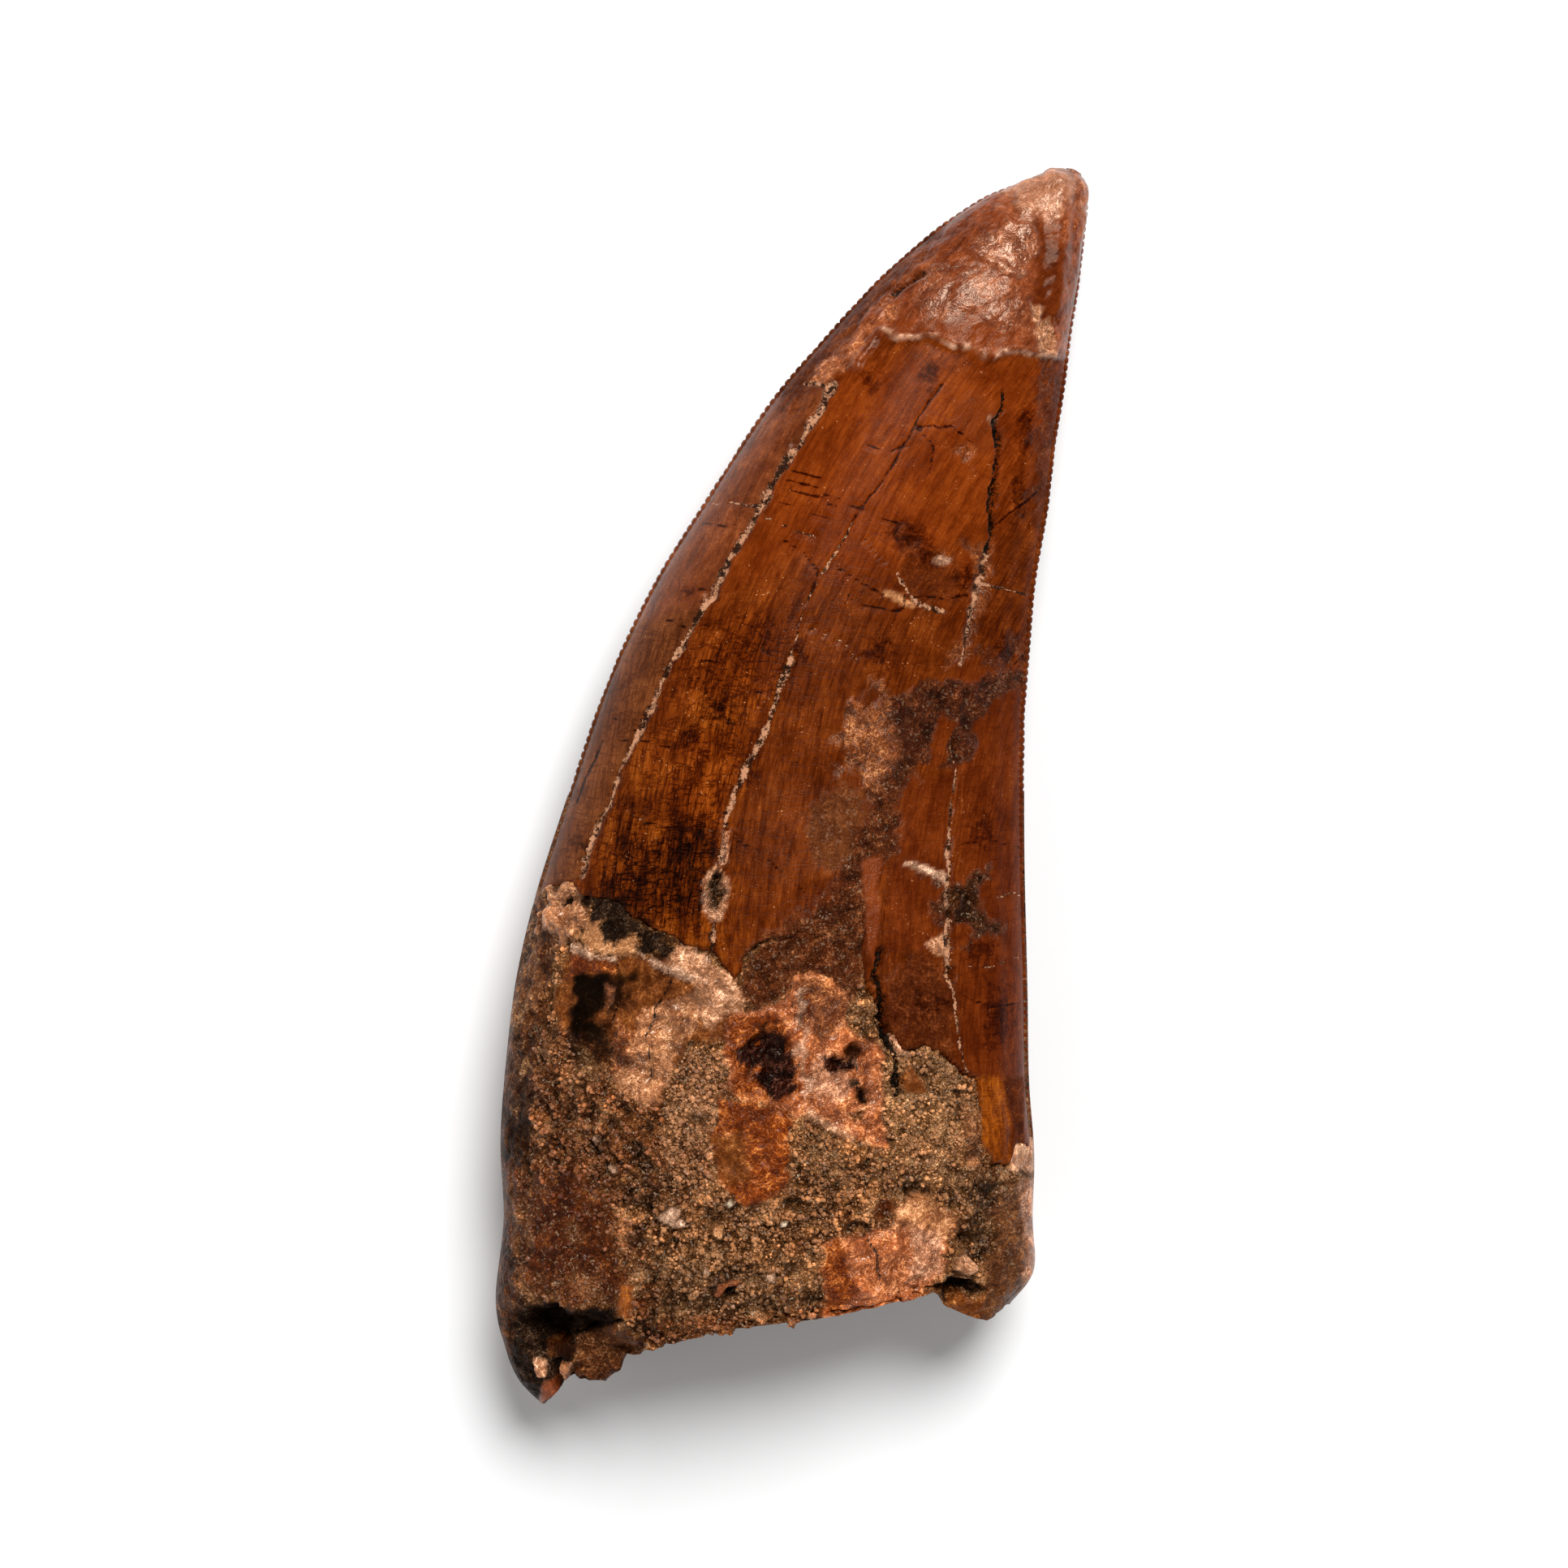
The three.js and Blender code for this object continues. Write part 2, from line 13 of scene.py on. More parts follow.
import bpy
import numpy as np
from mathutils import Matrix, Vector


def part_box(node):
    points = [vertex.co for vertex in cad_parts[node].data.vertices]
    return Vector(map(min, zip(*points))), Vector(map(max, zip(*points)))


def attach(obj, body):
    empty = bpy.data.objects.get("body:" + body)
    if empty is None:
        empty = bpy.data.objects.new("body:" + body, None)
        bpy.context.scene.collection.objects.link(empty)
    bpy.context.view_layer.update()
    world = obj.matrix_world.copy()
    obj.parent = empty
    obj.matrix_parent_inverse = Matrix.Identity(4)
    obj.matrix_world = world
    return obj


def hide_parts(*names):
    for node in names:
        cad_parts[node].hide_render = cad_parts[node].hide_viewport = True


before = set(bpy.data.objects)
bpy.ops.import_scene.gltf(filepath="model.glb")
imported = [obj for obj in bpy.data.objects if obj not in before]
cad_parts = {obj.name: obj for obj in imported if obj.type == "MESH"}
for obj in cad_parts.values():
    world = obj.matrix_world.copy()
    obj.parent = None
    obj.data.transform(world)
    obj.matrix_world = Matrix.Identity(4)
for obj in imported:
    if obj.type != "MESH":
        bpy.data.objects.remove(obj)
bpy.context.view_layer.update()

logger = logging.getLogger("tooth")

NODE = "tooth"
BODY = "root"
MILLIMETRE = 0.001
EDGE_STEPS = 4000

Point = tuple[float, float]
Place = tuple[float, float, float]
Path = tuple[tuple[float, ...], ...]
Colour = tuple[float, float, float, float]
Array = np.ndarray
Socket = bpy.types.NodeSocket

# The brightness of a level white surface under the key light.
SUNLIT = 1.12


def seen(red: int, green: int, blue: int) -> Colour:
    """Turn a colour as it is seen under the key light into the linear colour of a shader.

    Args:
        red: red on a display, from 0 to 255.
        green: green on a display, from 0 to 255.
        blue: blue on a display, from 0 to 255.

    Returns:
        The linear colour, divided by the light on a level surface, with an alpha of 1.
    """
    shares = [value / 255.0 for value in (red, green, blue)]
    linear = [share / 12.92 if share <= 0.04045 else ((share + 0.055) / 1.055) ** 2.4 for share in shares]
    return (linear[0] / SUNLIT, linear[1] / SUNLIT, linear[2] / SUNLIT, 1.0)


def smooth_step(low: float, high: float, value: Array) -> Array:
    """Return the cubic step 3t^2 - 2t^3, with t the place of value from low to high."""
    share = np.clip((value - low) / (high - low), 0.0, 1.0)
    return share * share * (3.0 - 2.0 * share)


def blend(first: Array, second: Array, share: Array) -> Array:
    """Return first where share is 0, second where it is 1, and a line between."""
    return first + (second - first) * share


def lattice_value(column: Array, row: Array, layer: Array, seed: int) -> Array:
    """Scatter the points of a whole-number lattice over 0 to 1.

    Each coordinate is multiplied by a large odd number, the products are added,
    and the sum is mixed with its own upper bits.

    Args:
        column: lattice places along X.
        row: lattice places along Y.
        layer: lattice places along Z.
        seed: number of the pattern.

    Returns:
        One repeatable number for each lattice point.
    """
    mixed = column.astype(np.int64) * 374761393 + row.astype(np.int64) * 668265263
    mixed = mixed + layer.astype(np.int64) * 2147483647 + seed * 1274126177
    mixed = mixed & 0xFFFFFFFF
    mixed = ((mixed ^ (mixed >> 13)) * 1103515245) & 0xFFFFFFFF
    mixed = ((mixed ^ (mixed >> 15)) * 1540483477) & 0xFFFFFFFF
    return (mixed ^ (mixed >> 16)) / 2.0**32


def lumps(place: Array, spacing: float, seed: int) -> Array:
    """Return smooth lumps from -1 to 1: lattice values blended by cubic steps.

    Args:
        place: points, with X, Y and Z on the last axis, in millimetres.
        spacing: distance from one lump to the next.
        seed: number of the pattern.

    Returns:
        One value for each point.
    """
    scaled = place / spacing
    cell = np.floor(scaled)
    part = smooth_step(0.0, 1.0, scaled - cell)
    total = np.zeros(place.shape[:-1])
    for corner in range(8):
        step = np.array([corner & 1, (corner >> 1) & 1, (corner >> 2) & 1])
        weight = np.prod(np.where(step == 1, part, 1.0 - part), axis=-1)
        index = cell + step
        total += weight * lattice_value(index[..., 0], index[..., 1], index[..., 2], seed)
    return 2.0 * total - 1.0


# The usual largest value of a sum of lumps, and the turn from one octave to the next.
CRUMPLE_TOP = 1.6
TURN = np.array([[0.36, 0.48, -0.8], [-0.8, 0.6, 0.0], [0.48, 0.64, 0.6]])


def crumple(place: Array, spacing: float, octaves: int, seed: int) -> Array:
    """Return a sum of lumps, each octave turned, half as far apart and half as high.

    Args:
        place: points in millimetres.
        spacing: distance between the largest lumps.
        octaves: how many sizes of lumps are added.
        seed: number of the pattern.

    Returns:
        One value for each point, about -1 to 1.
    """
    total = np.zeros(place.shape[:-1])
    height = 1.0
    for octave in range(octaves):
        total += height * lumps(place, spacing, seed + octave)
        place = place @ TURN
        spacing *= 0.5
        height *= 0.5
    return total / CRUMPLE_TOP


def crumbs(place: Array, spacing: float, octaves: int, seed: int) -> Array:
    """Return packed crumbs from -0.6 up: 2.2 times the size of a sum of lumps, less 0.6."""
    return 2.2 * np.abs(crumple(place, spacing, octaves, seed)) - 0.6


def plotted(line: Path | str) -> Path:
    """Read points: the numbers of each one apart by blanks, the points apart by commas."""
    if isinstance(line, tuple):
        return line
    return tuple(tuple(float(number) for number in point.split()) for point in line.split(","))


def distance_to_path(x: Array, y: Array, path: Path) -> Array:
    """Return the distance in plan to the nearest segment of a path.

    The foot of a point is its projection on a segment, held between its ends.
    """
    nearest = np.full(x.shape, np.inf)
    for (x0, y0), (x1, y1) in zip(path[:-1], path[1:]):
        run_x, run_y = x1 - x0, y1 - y0
        share = np.clip(((x - x0) * run_x + (y - y0) * run_y) / (run_x**2 + run_y**2), 0.0, 1.0)
        nearest = np.minimum(nearest, np.hypot(x - x0 - share * run_x, y - y0 - share * run_y))
    return nearest


def depth_inside(x: Array, y: Array, region: Path) -> Array:
    """Return the distance in plan to the border of a region, positive inside it.

    A point is inside where a line from it to the right crosses the border an odd
    number of times.
    """
    inside = np.zeros(x.shape, dtype=bool)
    for (x0, y0), (x1, y1) in zip(region, region[1:] + region[:1]):
        if y0 != y1:
            crosses = ((y0 > y) != (y1 > y)) & (x < (x1 - x0) * (y - y0) / (y1 - y0) + x0)
            inside ^= crosses
    distance = distance_to_path(x, y, region + region[:1])
    return np.where(inside, distance, -distance)


def spline_values(values: Array, place: Array) -> Array:
    """Read a Catmull-Rom curve through evenly spaced values.

    Args:
        values: the values that the curve passes through.
        place: where to read it, from 0 at the first value to 1 at the last.

    Returns:
        The curve's value at each place.
    """
    scaled = np.clip(place, 0.0, 1.0) * (len(values) - 1)
    index = np.minimum(np.floor(scaled).astype(int), len(values) - 2)
    part = scaled - index
    start, end = values[index], values[index + 1]
    start_slope = (end - values[np.maximum(index - 1, 0)]) / 2.0
    end_slope = (values[np.minimum(index + 2, len(values) - 1)] - start) / 2.0
    cubic = (2.0 * start - 2.0 * end + start_slope + end_slope) * part**3
    square = (-3.0 * start + 3.0 * end - 2.0 * start_slope - end_slope) * part**2
    return cubic + square + start_slope * part + start


class Edge(Enum):
    """Which edge of the tooth: the outer one on the left, or the hollow-curved one on the right."""

    OUTER = "left"
    HOLLOW = "right"


@dataclass(frozen=True)
class Section:
    """One section of the tooth, from edge to edge.

    left and right are the edge points in plan, half is half the thickness,
    crest the place of the thickest line between the edges, the roundings are the
    fullness of the flanks (0.5 elliptical, 1 parabolic), lift the clearance below.
    """

    left_x: float
    left_y: float
    right_x: float
    right_y: float
    half: float
    crest: float
    left_rounding: float
    right_rounding: float
    lift: float


@dataclass(frozen=True)
class ToothForm:
    """The tooth's main form, lofted through sections from the broken end to the tip."""

    sections: tuple[Section, ...] = tuple(Section(*numbers) for numbers in plotted(
        "-18.6 -45.7 16.2 -38.2 7.6 0.46 0.5 0.5 -0.5, -20.2 -44 17.5 -36.6 7.9 0.46 0.5 0.5 -0.6, "
        "-21.2 -41.6 17.9 -35.1 8.1 0.46 0.5 0.5 -0.6, -21.9 -38 17.7 -32 8.3 0.45 0.5 0.52 -0.5, "
        "-21.3 -32 17.8 -27.2 8.4 0.44 0.52 0.54 -0.25, -21.5 -26 17.4 -21.8 8.4 0.43 0.54 0.58 0.05, "
        "-21 -19.4 17.3 -15.8 8.2 0.42 0.56 0.64 0.25, -20.3 -14 17.2 -11 8.05 0.41 0.58 0.7 0.2, "
        "-18.9 -8 17.1 -5.9 7.9 0.4 0.6 0.76 0.05, -16.6 -0.8 17.1 -0.5 7.65 0.39 0.62 0.8 -0.15, "
        "-13.7 7.6 17.2 5.2 7.2 0.38 0.62 0.82 0.2, -10.3 14.8 17.6 10.6 6.6 0.38 0.62 0.82 0.75, "
        "-6.6 20.8 18 15.1 6 0.39 0.62 0.8 1.3, -1.9 28 18.9 20.2 5.4 0.4 0.62 0.78 1.75, "
        "2.1 32.8 19.5 25 4.95 0.42 0.6 0.74 1.95, 6.5 37.6 20.2 29.5 4.5 0.45 0.6 0.7 2.1, "
        "10.6 41.2 20.7 33.4 3.9 0.48 0.58 0.66 2.2, 14.1 43.6 21.3 37 3.2 0.5 0.56 0.6 2.35, "
        "16.9 44.8 21.7 40.3 2.5 0.5 0.54 0.56 2.6, 18.7 45.5 22 43.6 1.8 0.5 0.5 0.5 2.95, "
        "20.1 45.7 21.4 45 1 0.5 0.5 0.5 3.55"
    ))
    apex: Place = (20.85, 45.62, 4.6)
    broken_end: Path = plotted(
        "-18.6 -45.7, -17.1 -44.7, -16.6 -43.8, -13.8 -44.1, -11.6 -41.8, -9.5 -40.8, -4.8 -39.4, "
        "2.5 -38.6, 7.4 -37.6, 9.6 -37.3, 11.2 -38.3, 14.3 -39.3, 16.2 -38.2"
    )
    broken_end_reach: float = 0.15
    waist_depth: float = 1.3
    waist_reach: float = 0.16
    waist_fade: Point = (0.05, 0.5)

    def read(self, name: str, place: Array) -> Array:
        """Return the smooth curve through one measure of the sections.

        Args:
            name: the measure's field in Section.
            place: where to read it, 0 at the broken end and 1 at the tip.

        Returns:
            The measure at each place.
        """
        return spline_values(np.array([getattr(section, name) for section in self.sections]), place)

    def edge_points(self, edge: Edge, place: Array) -> tuple[Array, Array]:
        """Return X and Y of one edge along the tooth."""
        return self.read(f"{edge.value}_x", place), self.read(f"{edge.value}_y", place)

    def middle(self, place: Array) -> Array:
        """Return the height of the middle plane along the tooth."""
        return self.read("half", place) + self.read("lift", place)

    def fullness(self, place: Array, across: Array) -> Array:
        """Return the height of a section above its middle plane, 1 on the crest.

        Each flank is (1 - v^2) to the power of its rounding, with v the distance
        from the crest as a share of that flank's width.
        """
        crest = self.read("crest", place)
        on_left = across < crest
        offset = np.abs(across - crest) / np.where(on_left, crest, 1.0 - crest)
        power = np.where(on_left, self.read("left_rounding", place), self.read("right_rounding", place))
        return np.clip(1.0 - offset**2, 0.0, 1.0) ** power

    def plan(self, place: Array, across: Array) -> tuple[Array, Array]:
        """Return the point in plan: a line between the edges, bent to the broken end.

        The bend is the broken edge's distance from a straight line, and fades
        with the square of the distance from the end.
        """
        left_x, left_y = self.edge_points(Edge.OUTER, place)
        right_x, right_y = self.edge_points(Edge.HOLLOW, place)
        first = self.sections[0]
        straight = blend(first.left_y, first.right_y, across)
        broken = np.interp(blend(first.left_x, first.right_x, across), *np.array(self.broken_end).T)
        bend = (1.0 - np.clip(place / self.broken_end_reach, 0.0, 1.0)) ** 2
        return blend(left_x, right_x, across), blend(left_y, right_y, across) + bend * (broken - straight)

    def width(self, place: Array) -> Array:
        """Return the straight width from edge to edge."""
        left_x, left_y = self.edge_points(Edge.OUTER, place)
        right_x, right_y = self.edge_points(Edge.HOLLOW, place)
        return np.hypot(right_x - left_x, right_y - left_y)

    def waist(self, place: Array, across: Array) -> Array:
        """Return the hollow along the middle of the root's under face, a bell across it."""
        shape = np.exp(-(((across - 0.5) / self.waist_reach) ** 2))
        return self.waist_depth * shape * (1.0 - smooth_step(*self.waist_fade, place))

    def edge_length(self, edge: Edge) -> tuple[Array, Array]:
        """Measure one edge in straight steps.

        Args:
            edge: which edge.

        Returns:
            The places along the tooth, and the length from the broken end to each.
        """
        place = np.linspace(0.0, 1.0, EDGE_STEPS)
        x, y = self.edge_points(edge, place)
        length = np.concatenate([[0.0], np.cumsum(np.hypot(np.diff(x), np.diff(y)))])
        return place, length


class CrackKind(Enum):
    """What a crack holds."""

    FILLED = "filled"
    OPEN = "open"
    HAIRLINE = "hairline"


FILLED = CrackKind.FILLED
OPEN = CrackKind.OPEN
HAIRLINE = CrackKind.HAIRLINE


@dataclass(frozen=True)
class Crack:
    """A crack: its path, what it holds, half its width and its depth."""

    path: Path | str
    kind: CrackKind = HAIRLINE
    width: float = 0.085
    depth: float = 0.03


@dataclass(frozen=True)
class Stuff:
    """What a place on the fossil is made of.

    colour is what is seen of it, sand the share of grit in it with its painted gap shade, coarse the height
    of its crumbs and of their painted shading, fibre and weave how clear the enamel's fibres and its net of
    fine lines are, rough its roughness, shine how strongly it mirrors, and
    crinkle how strongly its skin is crinkled and painted with light and shade along the crinkles.
    """

    colour: Colour
    sand: float = 0.0
    coarse: float = 0.02
    fibre: float = 0.0
    weave: float = 0.0
    rough: float = 0.42
    shine: float = 0.1
    crinkle: float = 0.0


ENAMEL = Stuff(seen(108, 45, 8), fibre=1.0, weave=0.35, rough=0.22, shine=0.06)
ENAMEL_LIGHT = Stuff(seen(128, 53, 11), fibre=0.8, weave=0.2, rough=0.2, shine=0.05)
ENAMEL_DEEP = Stuff(seen(122, 54, 7), fibre=1.5, weave=0.8, rough=0.26, shine=0.06)
ENAMEL_WOVEN = Stuff(seen(126, 54, 8), fibre=1.2, weave=1.1, rough=0.22, shine=0.06)
ENAMEL_SHADED = Stuff(seen(106, 42, 8), fibre=0.7, weave=0.3, rough=0.22, shine=0.12)
ENAMEL_SMOKY = Stuff(seen(96, 42, 14), coarse=0.3, fibre=0.4, weave=0.3, rough=0.4, shine=0.03, crinkle=0.5)
# Grey-brown enamel on the rolled-away outer flank; its greyness is partly painted sheen.
ENAMEL_GREY_AND_SHEEN = Stuff(seen(116, 61, 28), fibre=0.7, weave=0.5, rough=0.34, shine=0.08, crinkle=0.1)
ENAMEL_ORANGE = Stuff(seen(126, 54, 16), sand=0.05, coarse=0.08, fibre=0.5, rough=0.24, shine=0.15)
TIP_BROWN = Stuff(seen(130, 60, 26), coarse=0.08, fibre=0.9, rough=0.24, shine=0.3, crinkle=0.3)
TIP_PINK = Stuff(seen(150, 84, 52), coarse=0.12, fibre=0.3, rough=0.2, shine=1.0, crinkle=0.7)
# Pale glossy enamel at the apex and along the inner ledge; its paleness is partly painted sheen.
GLAZE_AND_PAINTED_SHEEN = Stuff(seen(178, 114, 80), fibre=0.3, rough=0.28, shine=1.0, crinkle=0.5)
# Pale broken edge of the tip's ledge, partly painted glint.
LEDGE_AND_PAINTED_GLINT = Stuff(seen(216, 158, 122), rough=0.24, shine=1.0, crinkle=0.6)
AMBER = Stuff(seen(154, 76, 14), coarse=0.1, fibre=1.1, weave=0.5, rough=0.22, shine=0.15, crinkle=0.2)
SCALE = Stuff(seen(136, 70, 30), sand=0.1, coarse=1.0, rough=0.24, shine=0.4, crinkle=1.3)
CRUST = Stuff(seen(78, 32, 10), sand=0.2, coarse=1.0, rough=0.26, shine=0.1, crinkle=0.8)
BROWN_CRUST = Stuff(seen(108, 52, 22), sand=0.35, coarse=0.9, rough=0.26, shine=0.12, crinkle=0.9)
MATRIX = Stuff(seen(198, 130, 76), sand=1.0, coarse=1.5, rough=0.4, shine=0.15, crinkle=0.8)
BROWN_MATRIX = Stuff(seen(150, 86, 42), sand=0.8, coarse=1.6, rough=0.36, shine=0.2, crinkle=1.2)
PALE_MATRIX = Stuff(seen(220, 154, 98), sand=0.9, coarse=1.2, rough=0.4, shine=0.15, crinkle=0.9)
FINE_MATRIX = Stuff(seen(186, 126, 80), sand=0.9, coarse=0.4, rough=0.4, shine=0.2, crinkle=1.0)
GREY_MATRIX = Stuff(seen(122, 79, 44), sand=0.9, coarse=1.3, rough=0.4, shine=0.14, crinkle=1.0)
BLACK_MATRIX = Stuff(seen(84, 50, 25), sand=0.8, coarse=1.6, rough=0.4, shine=0.14, crinkle=1.0)
RED_EARTH = Stuff(seen(106, 46, 10), sand=0.45, coarse=0.6, rough=0.34, shine=0.14, crinkle=0.9)
SMOOTH_EARTH = Stuff(seen(120, 68, 32), sand=0.3, coarse=0.6, rough=0.36, shine=0.14, crinkle=0.8)
SMOOTH_DARK = Stuff(seen(90, 47, 20), sand=0.1, coarse=0.9, rough=0.36, shine=0.08, crinkle=1.2)
SMOOTH_BLACK = Stuff(seen(38, 21, 10), sand=0.05, coarse=1.0, rough=0.4, shine=0.05, crinkle=1.4)
# Near black put in holes and hollows: painted shade.
PAINTED_HOLE_SHADE = Stuff(seen(26, 14, 7), coarse=0.3, rough=0.5, shine=0.02, crinkle=0.8)
STAIN = Stuff(seen(56, 24, 6), coarse=0.16, fibre=0.2, weave=0.2, rough=0.3, shine=0.05, crinkle=0.7)
STAIN_BLACK = Stuff(seen(12, 6, 2), coarse=0.2, fibre=0.2, rough=0.36, shine=0.02, crinkle=0.3)
DENTINE = Stuff(seen(198, 134, 92), coarse=0.8, rough=0.24, shine=0.6, crinkle=1.2)
DENTINE_SCALE = Stuff(seen(190, 120, 73), coarse=1.1, rough=0.22, shine=0.7, crinkle=1.5)
DENTINE_BROWN = Stuff(seen(122, 64, 24), coarse=0.35, fibre=0.2, rough=0.32, shine=0.1, crinkle=0.7)
BONE = Stuff(seen(198, 108, 56), coarse=1.1, rough=0.22, shine=0.6, crinkle=1.5)
BONE_ORANGE = Stuff(seen(136, 60, 14), coarse=0.6, rough=0.28, shine=0.2, crinkle=1.2)
BONE_YELLOW = Stuff(seen(200, 134, 84), sand=0.1, coarse=0.4, rough=0.36, shine=0.2, crinkle=0.8)
BONE_PINK = Stuff(seen(200, 130, 90), sand=0.1, coarse=1.2, rough=0.22, shine=0.7, crinkle=1.5)
MAROON = Stuff(seen(44, 15, 7), coarse=1.3, rough=0.26, shine=0.12, crinkle=1.7)
CHIP = Stuff(seen(210, 160, 126), sand=0.05, coarse=0.8, rough=0.26, shine=0.6, crinkle=1.3)
CHIP_ORANGE = Stuff(seen(172, 94, 50), coarse=0.3, rough=0.3, shine=0.4, crinkle=1.0)
CHIP_WHITE = Stuff(seen(240, 216, 184), coarse=0.2)


@dataclass(frozen=True)
class Patch:
    """A patch of one kind of ground.

    border is its outline in plan, rise how far it stands up, ragged how far the
    outline wanders, soft half the outline's width, and strength how much shows.
    """

    stuff: Stuff
    border: Path | str
    rise: float = 0.0
    ragged: float = 0.35
    soft: float = 0.2
    strength: float = 1.0


@dataclass(frozen=True)
class Spot:
    """A soft round spot or hole: centre, reach along X and Y, and depth."""

    x: float
    y: float
    reach_x: float
    reach_y: float
    depth: float = 0.0

    def share(self, x: Array, y: Array) -> Array:
        """Return a bell that is 1 at the centre: exp of minus the squared distance in reaches."""
        return np.exp(-(((x - self.x) / self.reach_x) ** 2) - ((y - self.y) / self.reach_y) ** 2)


@dataclass(frozen=True)
class Fold:
    """A ridge along a path, or a groove where its height is negative."""

    path: Path
    height: float
    reach: float

    def relief(self, x: Array, y: Array) -> Array:
        """Return the height times exp(-(d / reach)^2), with d the distance to the path."""
        return self.height * np.exp(-((distance_to_path(x, y, self.path) / self.reach) ** 2))


def spots(text: str) -> tuple[Spot, ...]:
    """Read spots: X, Y, reach along X and Y, and depth if any, with commas between the spots."""
    return tuple(Spot(*numbers) for numbers in plotted(text))


def oval(x: float, y: float, reach_x: float, reach_y: float, turn: float = 0.0) -> Path:
    """Return the outline of an oval: a circle of 12 points, stretched, then turned by degrees."""
    angle = np.linspace(0.0, 2.0 * np.pi, 13)[:-1]
    wide, tall = reach_x * np.cos(angle), reach_y * np.sin(angle)
    cosine, sine = math.cos(math.radians(turn)), math.sin(math.radians(turn))
    return tuple(zip(x + wide * cosine - tall * sine, y + wide * sine + tall * cosine))


# Half widths that stand for no crack nearby.
FAR = 5.0
# The narrowest and the widest that a crack gets, as shares of its width.
SWELL_LIMITS = (0.2, 2.1)
# A spot's bell where its hole begins, and where the hole has its full depth.
HOLE_RIM, HOLE_FLOOR = 0.12, 0.75
# From the seed of a pattern along X to the one along Y.
OTHER_SEED = 40
MEASURES = ("sand", "coarse", "fibre", "weave", "rough", "shine", "crinkle")


@dataclass
class Ground:
    """What one face is made of at each of its points, laid on patch by patch.

    spacing is the distance between the turns of the outlines, and fraying how
    much their finest turns count, up to a patch's raggedness of frayed_most. A
    size of crumbs is its spacing, its octaves and its share of the relief.
    """

    place: Array
    first: Stuff
    seed: int
    spacing: float = 1.5
    wander_most: float = 1.5
    fray_spacing: float = 0.55
    fraying: float = 0.6
    frayed_most: float = 0.8
    crumb_sizes: tuple[tuple[float, int, float], ...] = ((2.6, 2, 0.34), (1.2, 2, 0.42), (0.5, 1, 0.2))
    relief: float = 0.85
    # Painted shade in the gaps between crumbs and painted light on their tops, and the limits of that factor.
    painted_crumb_shading: float = 0.8
    painted_shading_limits: Point = (0.4, 1.5)
    cloud_span: Point = (-0.1, 0.7)
    sandy_span: Point = (0.2, 0.8)
    trim_wander: float = 0.4
    trim_span: Point = (-0.35, 0.4)

    def __post_init__(self) -> None:
        """Start with the first stuff everywhere, and draw the wander of the outlines."""
        shape = self.place.shape[:-1]
        self.tint = np.broadcast_to(np.array(self.first.colour), shape + (4,)).copy()
        self.rise = np.zeros(shape)
        self.measures = {name: np.full(shape, getattr(self.first, name)) for name in MEASURES}
        self.wander_x = crumple(self.place, self.spacing, 4, self.seed)
        self.wander_y = crumple(self.place, self.spacing, 4, self.seed + OTHER_SEED)
        self.fray = crumple(self.place, self.fray_spacing, 2, self.seed + 2 * OTHER_SEED)
        self.crumbly = sum(
            share * crumbs(self.place, spacing, octaves, self.seed + 1 + 2 * number)
            for number, (spacing, octaves, share) in enumerate(self.crumb_sizes)
        )

    def shares(self, patch: Patch) -> tuple[Array, Array]:
        """Find the points that a patch covers.

        The outline is moved by the wander, and the cover is a cubic step of the
        depth inside it.

        Args:
            patch: the patch to lay.

        Returns:
            Which points lie near the patch, and how much it covers each of them.
        """
        x, y = self.place[..., 0], self.place[..., 1]
        border = plotted(patch.border)
        margin = patch.soft + self.wander_most * patch.ragged
        low, high = np.min(border, axis=0) - margin, np.max(border, axis=0) + margin
        near = (x > low[0]) & (x < high[0]) & (y > low[1]) & (y < high[1])
        moved_x = x[near] + patch.ragged * self.wander_x[near]
        moved_y = y[near] + patch.ragged * self.wander_y[near]
        frayed = self.fraying * min(patch.ragged, self.frayed_most) * self.fray[near]
        depth = depth_inside(moved_x, moved_y, border) + frayed
        return near, patch.strength * smooth_step(-patch.soft, patch.soft, depth)

    def lay(self, patches: tuple[Patch, ...]) -> None:
        """Lay patches on, each over the ones before it."""
        for patch in patches:
            near, share = self.shares(patch)
            self.rise[near] = blend(self.rise[near], patch.rise, share)
            self.cover(patch.stuff, share, near)

    def cover(self, stuff: Stuff, share: Array, near: object = ...) -> None:
        """Blend one stuff over some points, or over all of them, by its share of each."""
        for name, values in self.measures.items():
            values[near] = blend(values[near], getattr(stuff, name), share)
        self.tint[near] = blend(self.tint[near], np.array(stuff.colour), share[..., None])

    def dust(self, stuff: Stuff, most: float, spacing: float, seed: int) -> None:
        """Spread one stuff in clouds over the sandy ground.

        Args:
            stuff: what is spread.
            most: its largest share.
            spacing: distance from one cloud to the next.
            seed: number of the clouds.
        """
        clouds = smooth_step(*self.cloud_span, crumple(self.place, spacing, 5, seed))
        self.cover(stuff, most * (clouds * smooth_step(*self.sandy_span, self.measures["sand"])))

    def trim(self, stuff: Stuff, path: Path, width: float) -> None:
        """Lay one stuff along a path, as exp(-(d / width)^2) in patches."""
        x = self.place[..., 0] + self.trim_wander * self.wander_x
        y = self.place[..., 1] + self.trim_wander * self.wander_y
        near = distance_to_path(x, y, path)
        self.cover(stuff, np.exp(-((near / width) ** 2)) * smooth_step(*self.trim_span, self.fray))

    def height(self) -> Array:
        """Return the rise of the patches and their crumbs."""
        return self.rise + self.relief * self.measures["coarse"] * self.crumbly

    def masks(self) -> dict[str, Array]:
        """Return what the materials read, with the tint darker in the gaps between crumbs and lighter on
        their tops: painted shade and painted light.
        """
        tone = np.clip(1.0 + self.painted_crumb_shading * self.measures["coarse"] * self.crumbly, *self.painted_shading_limits)
        tint = self.tint.copy()
        tint[..., :3] *= tone[..., None]
        return {name: values for name, values in self.measures.items() if name != "coarse"} | {"tint": tint}


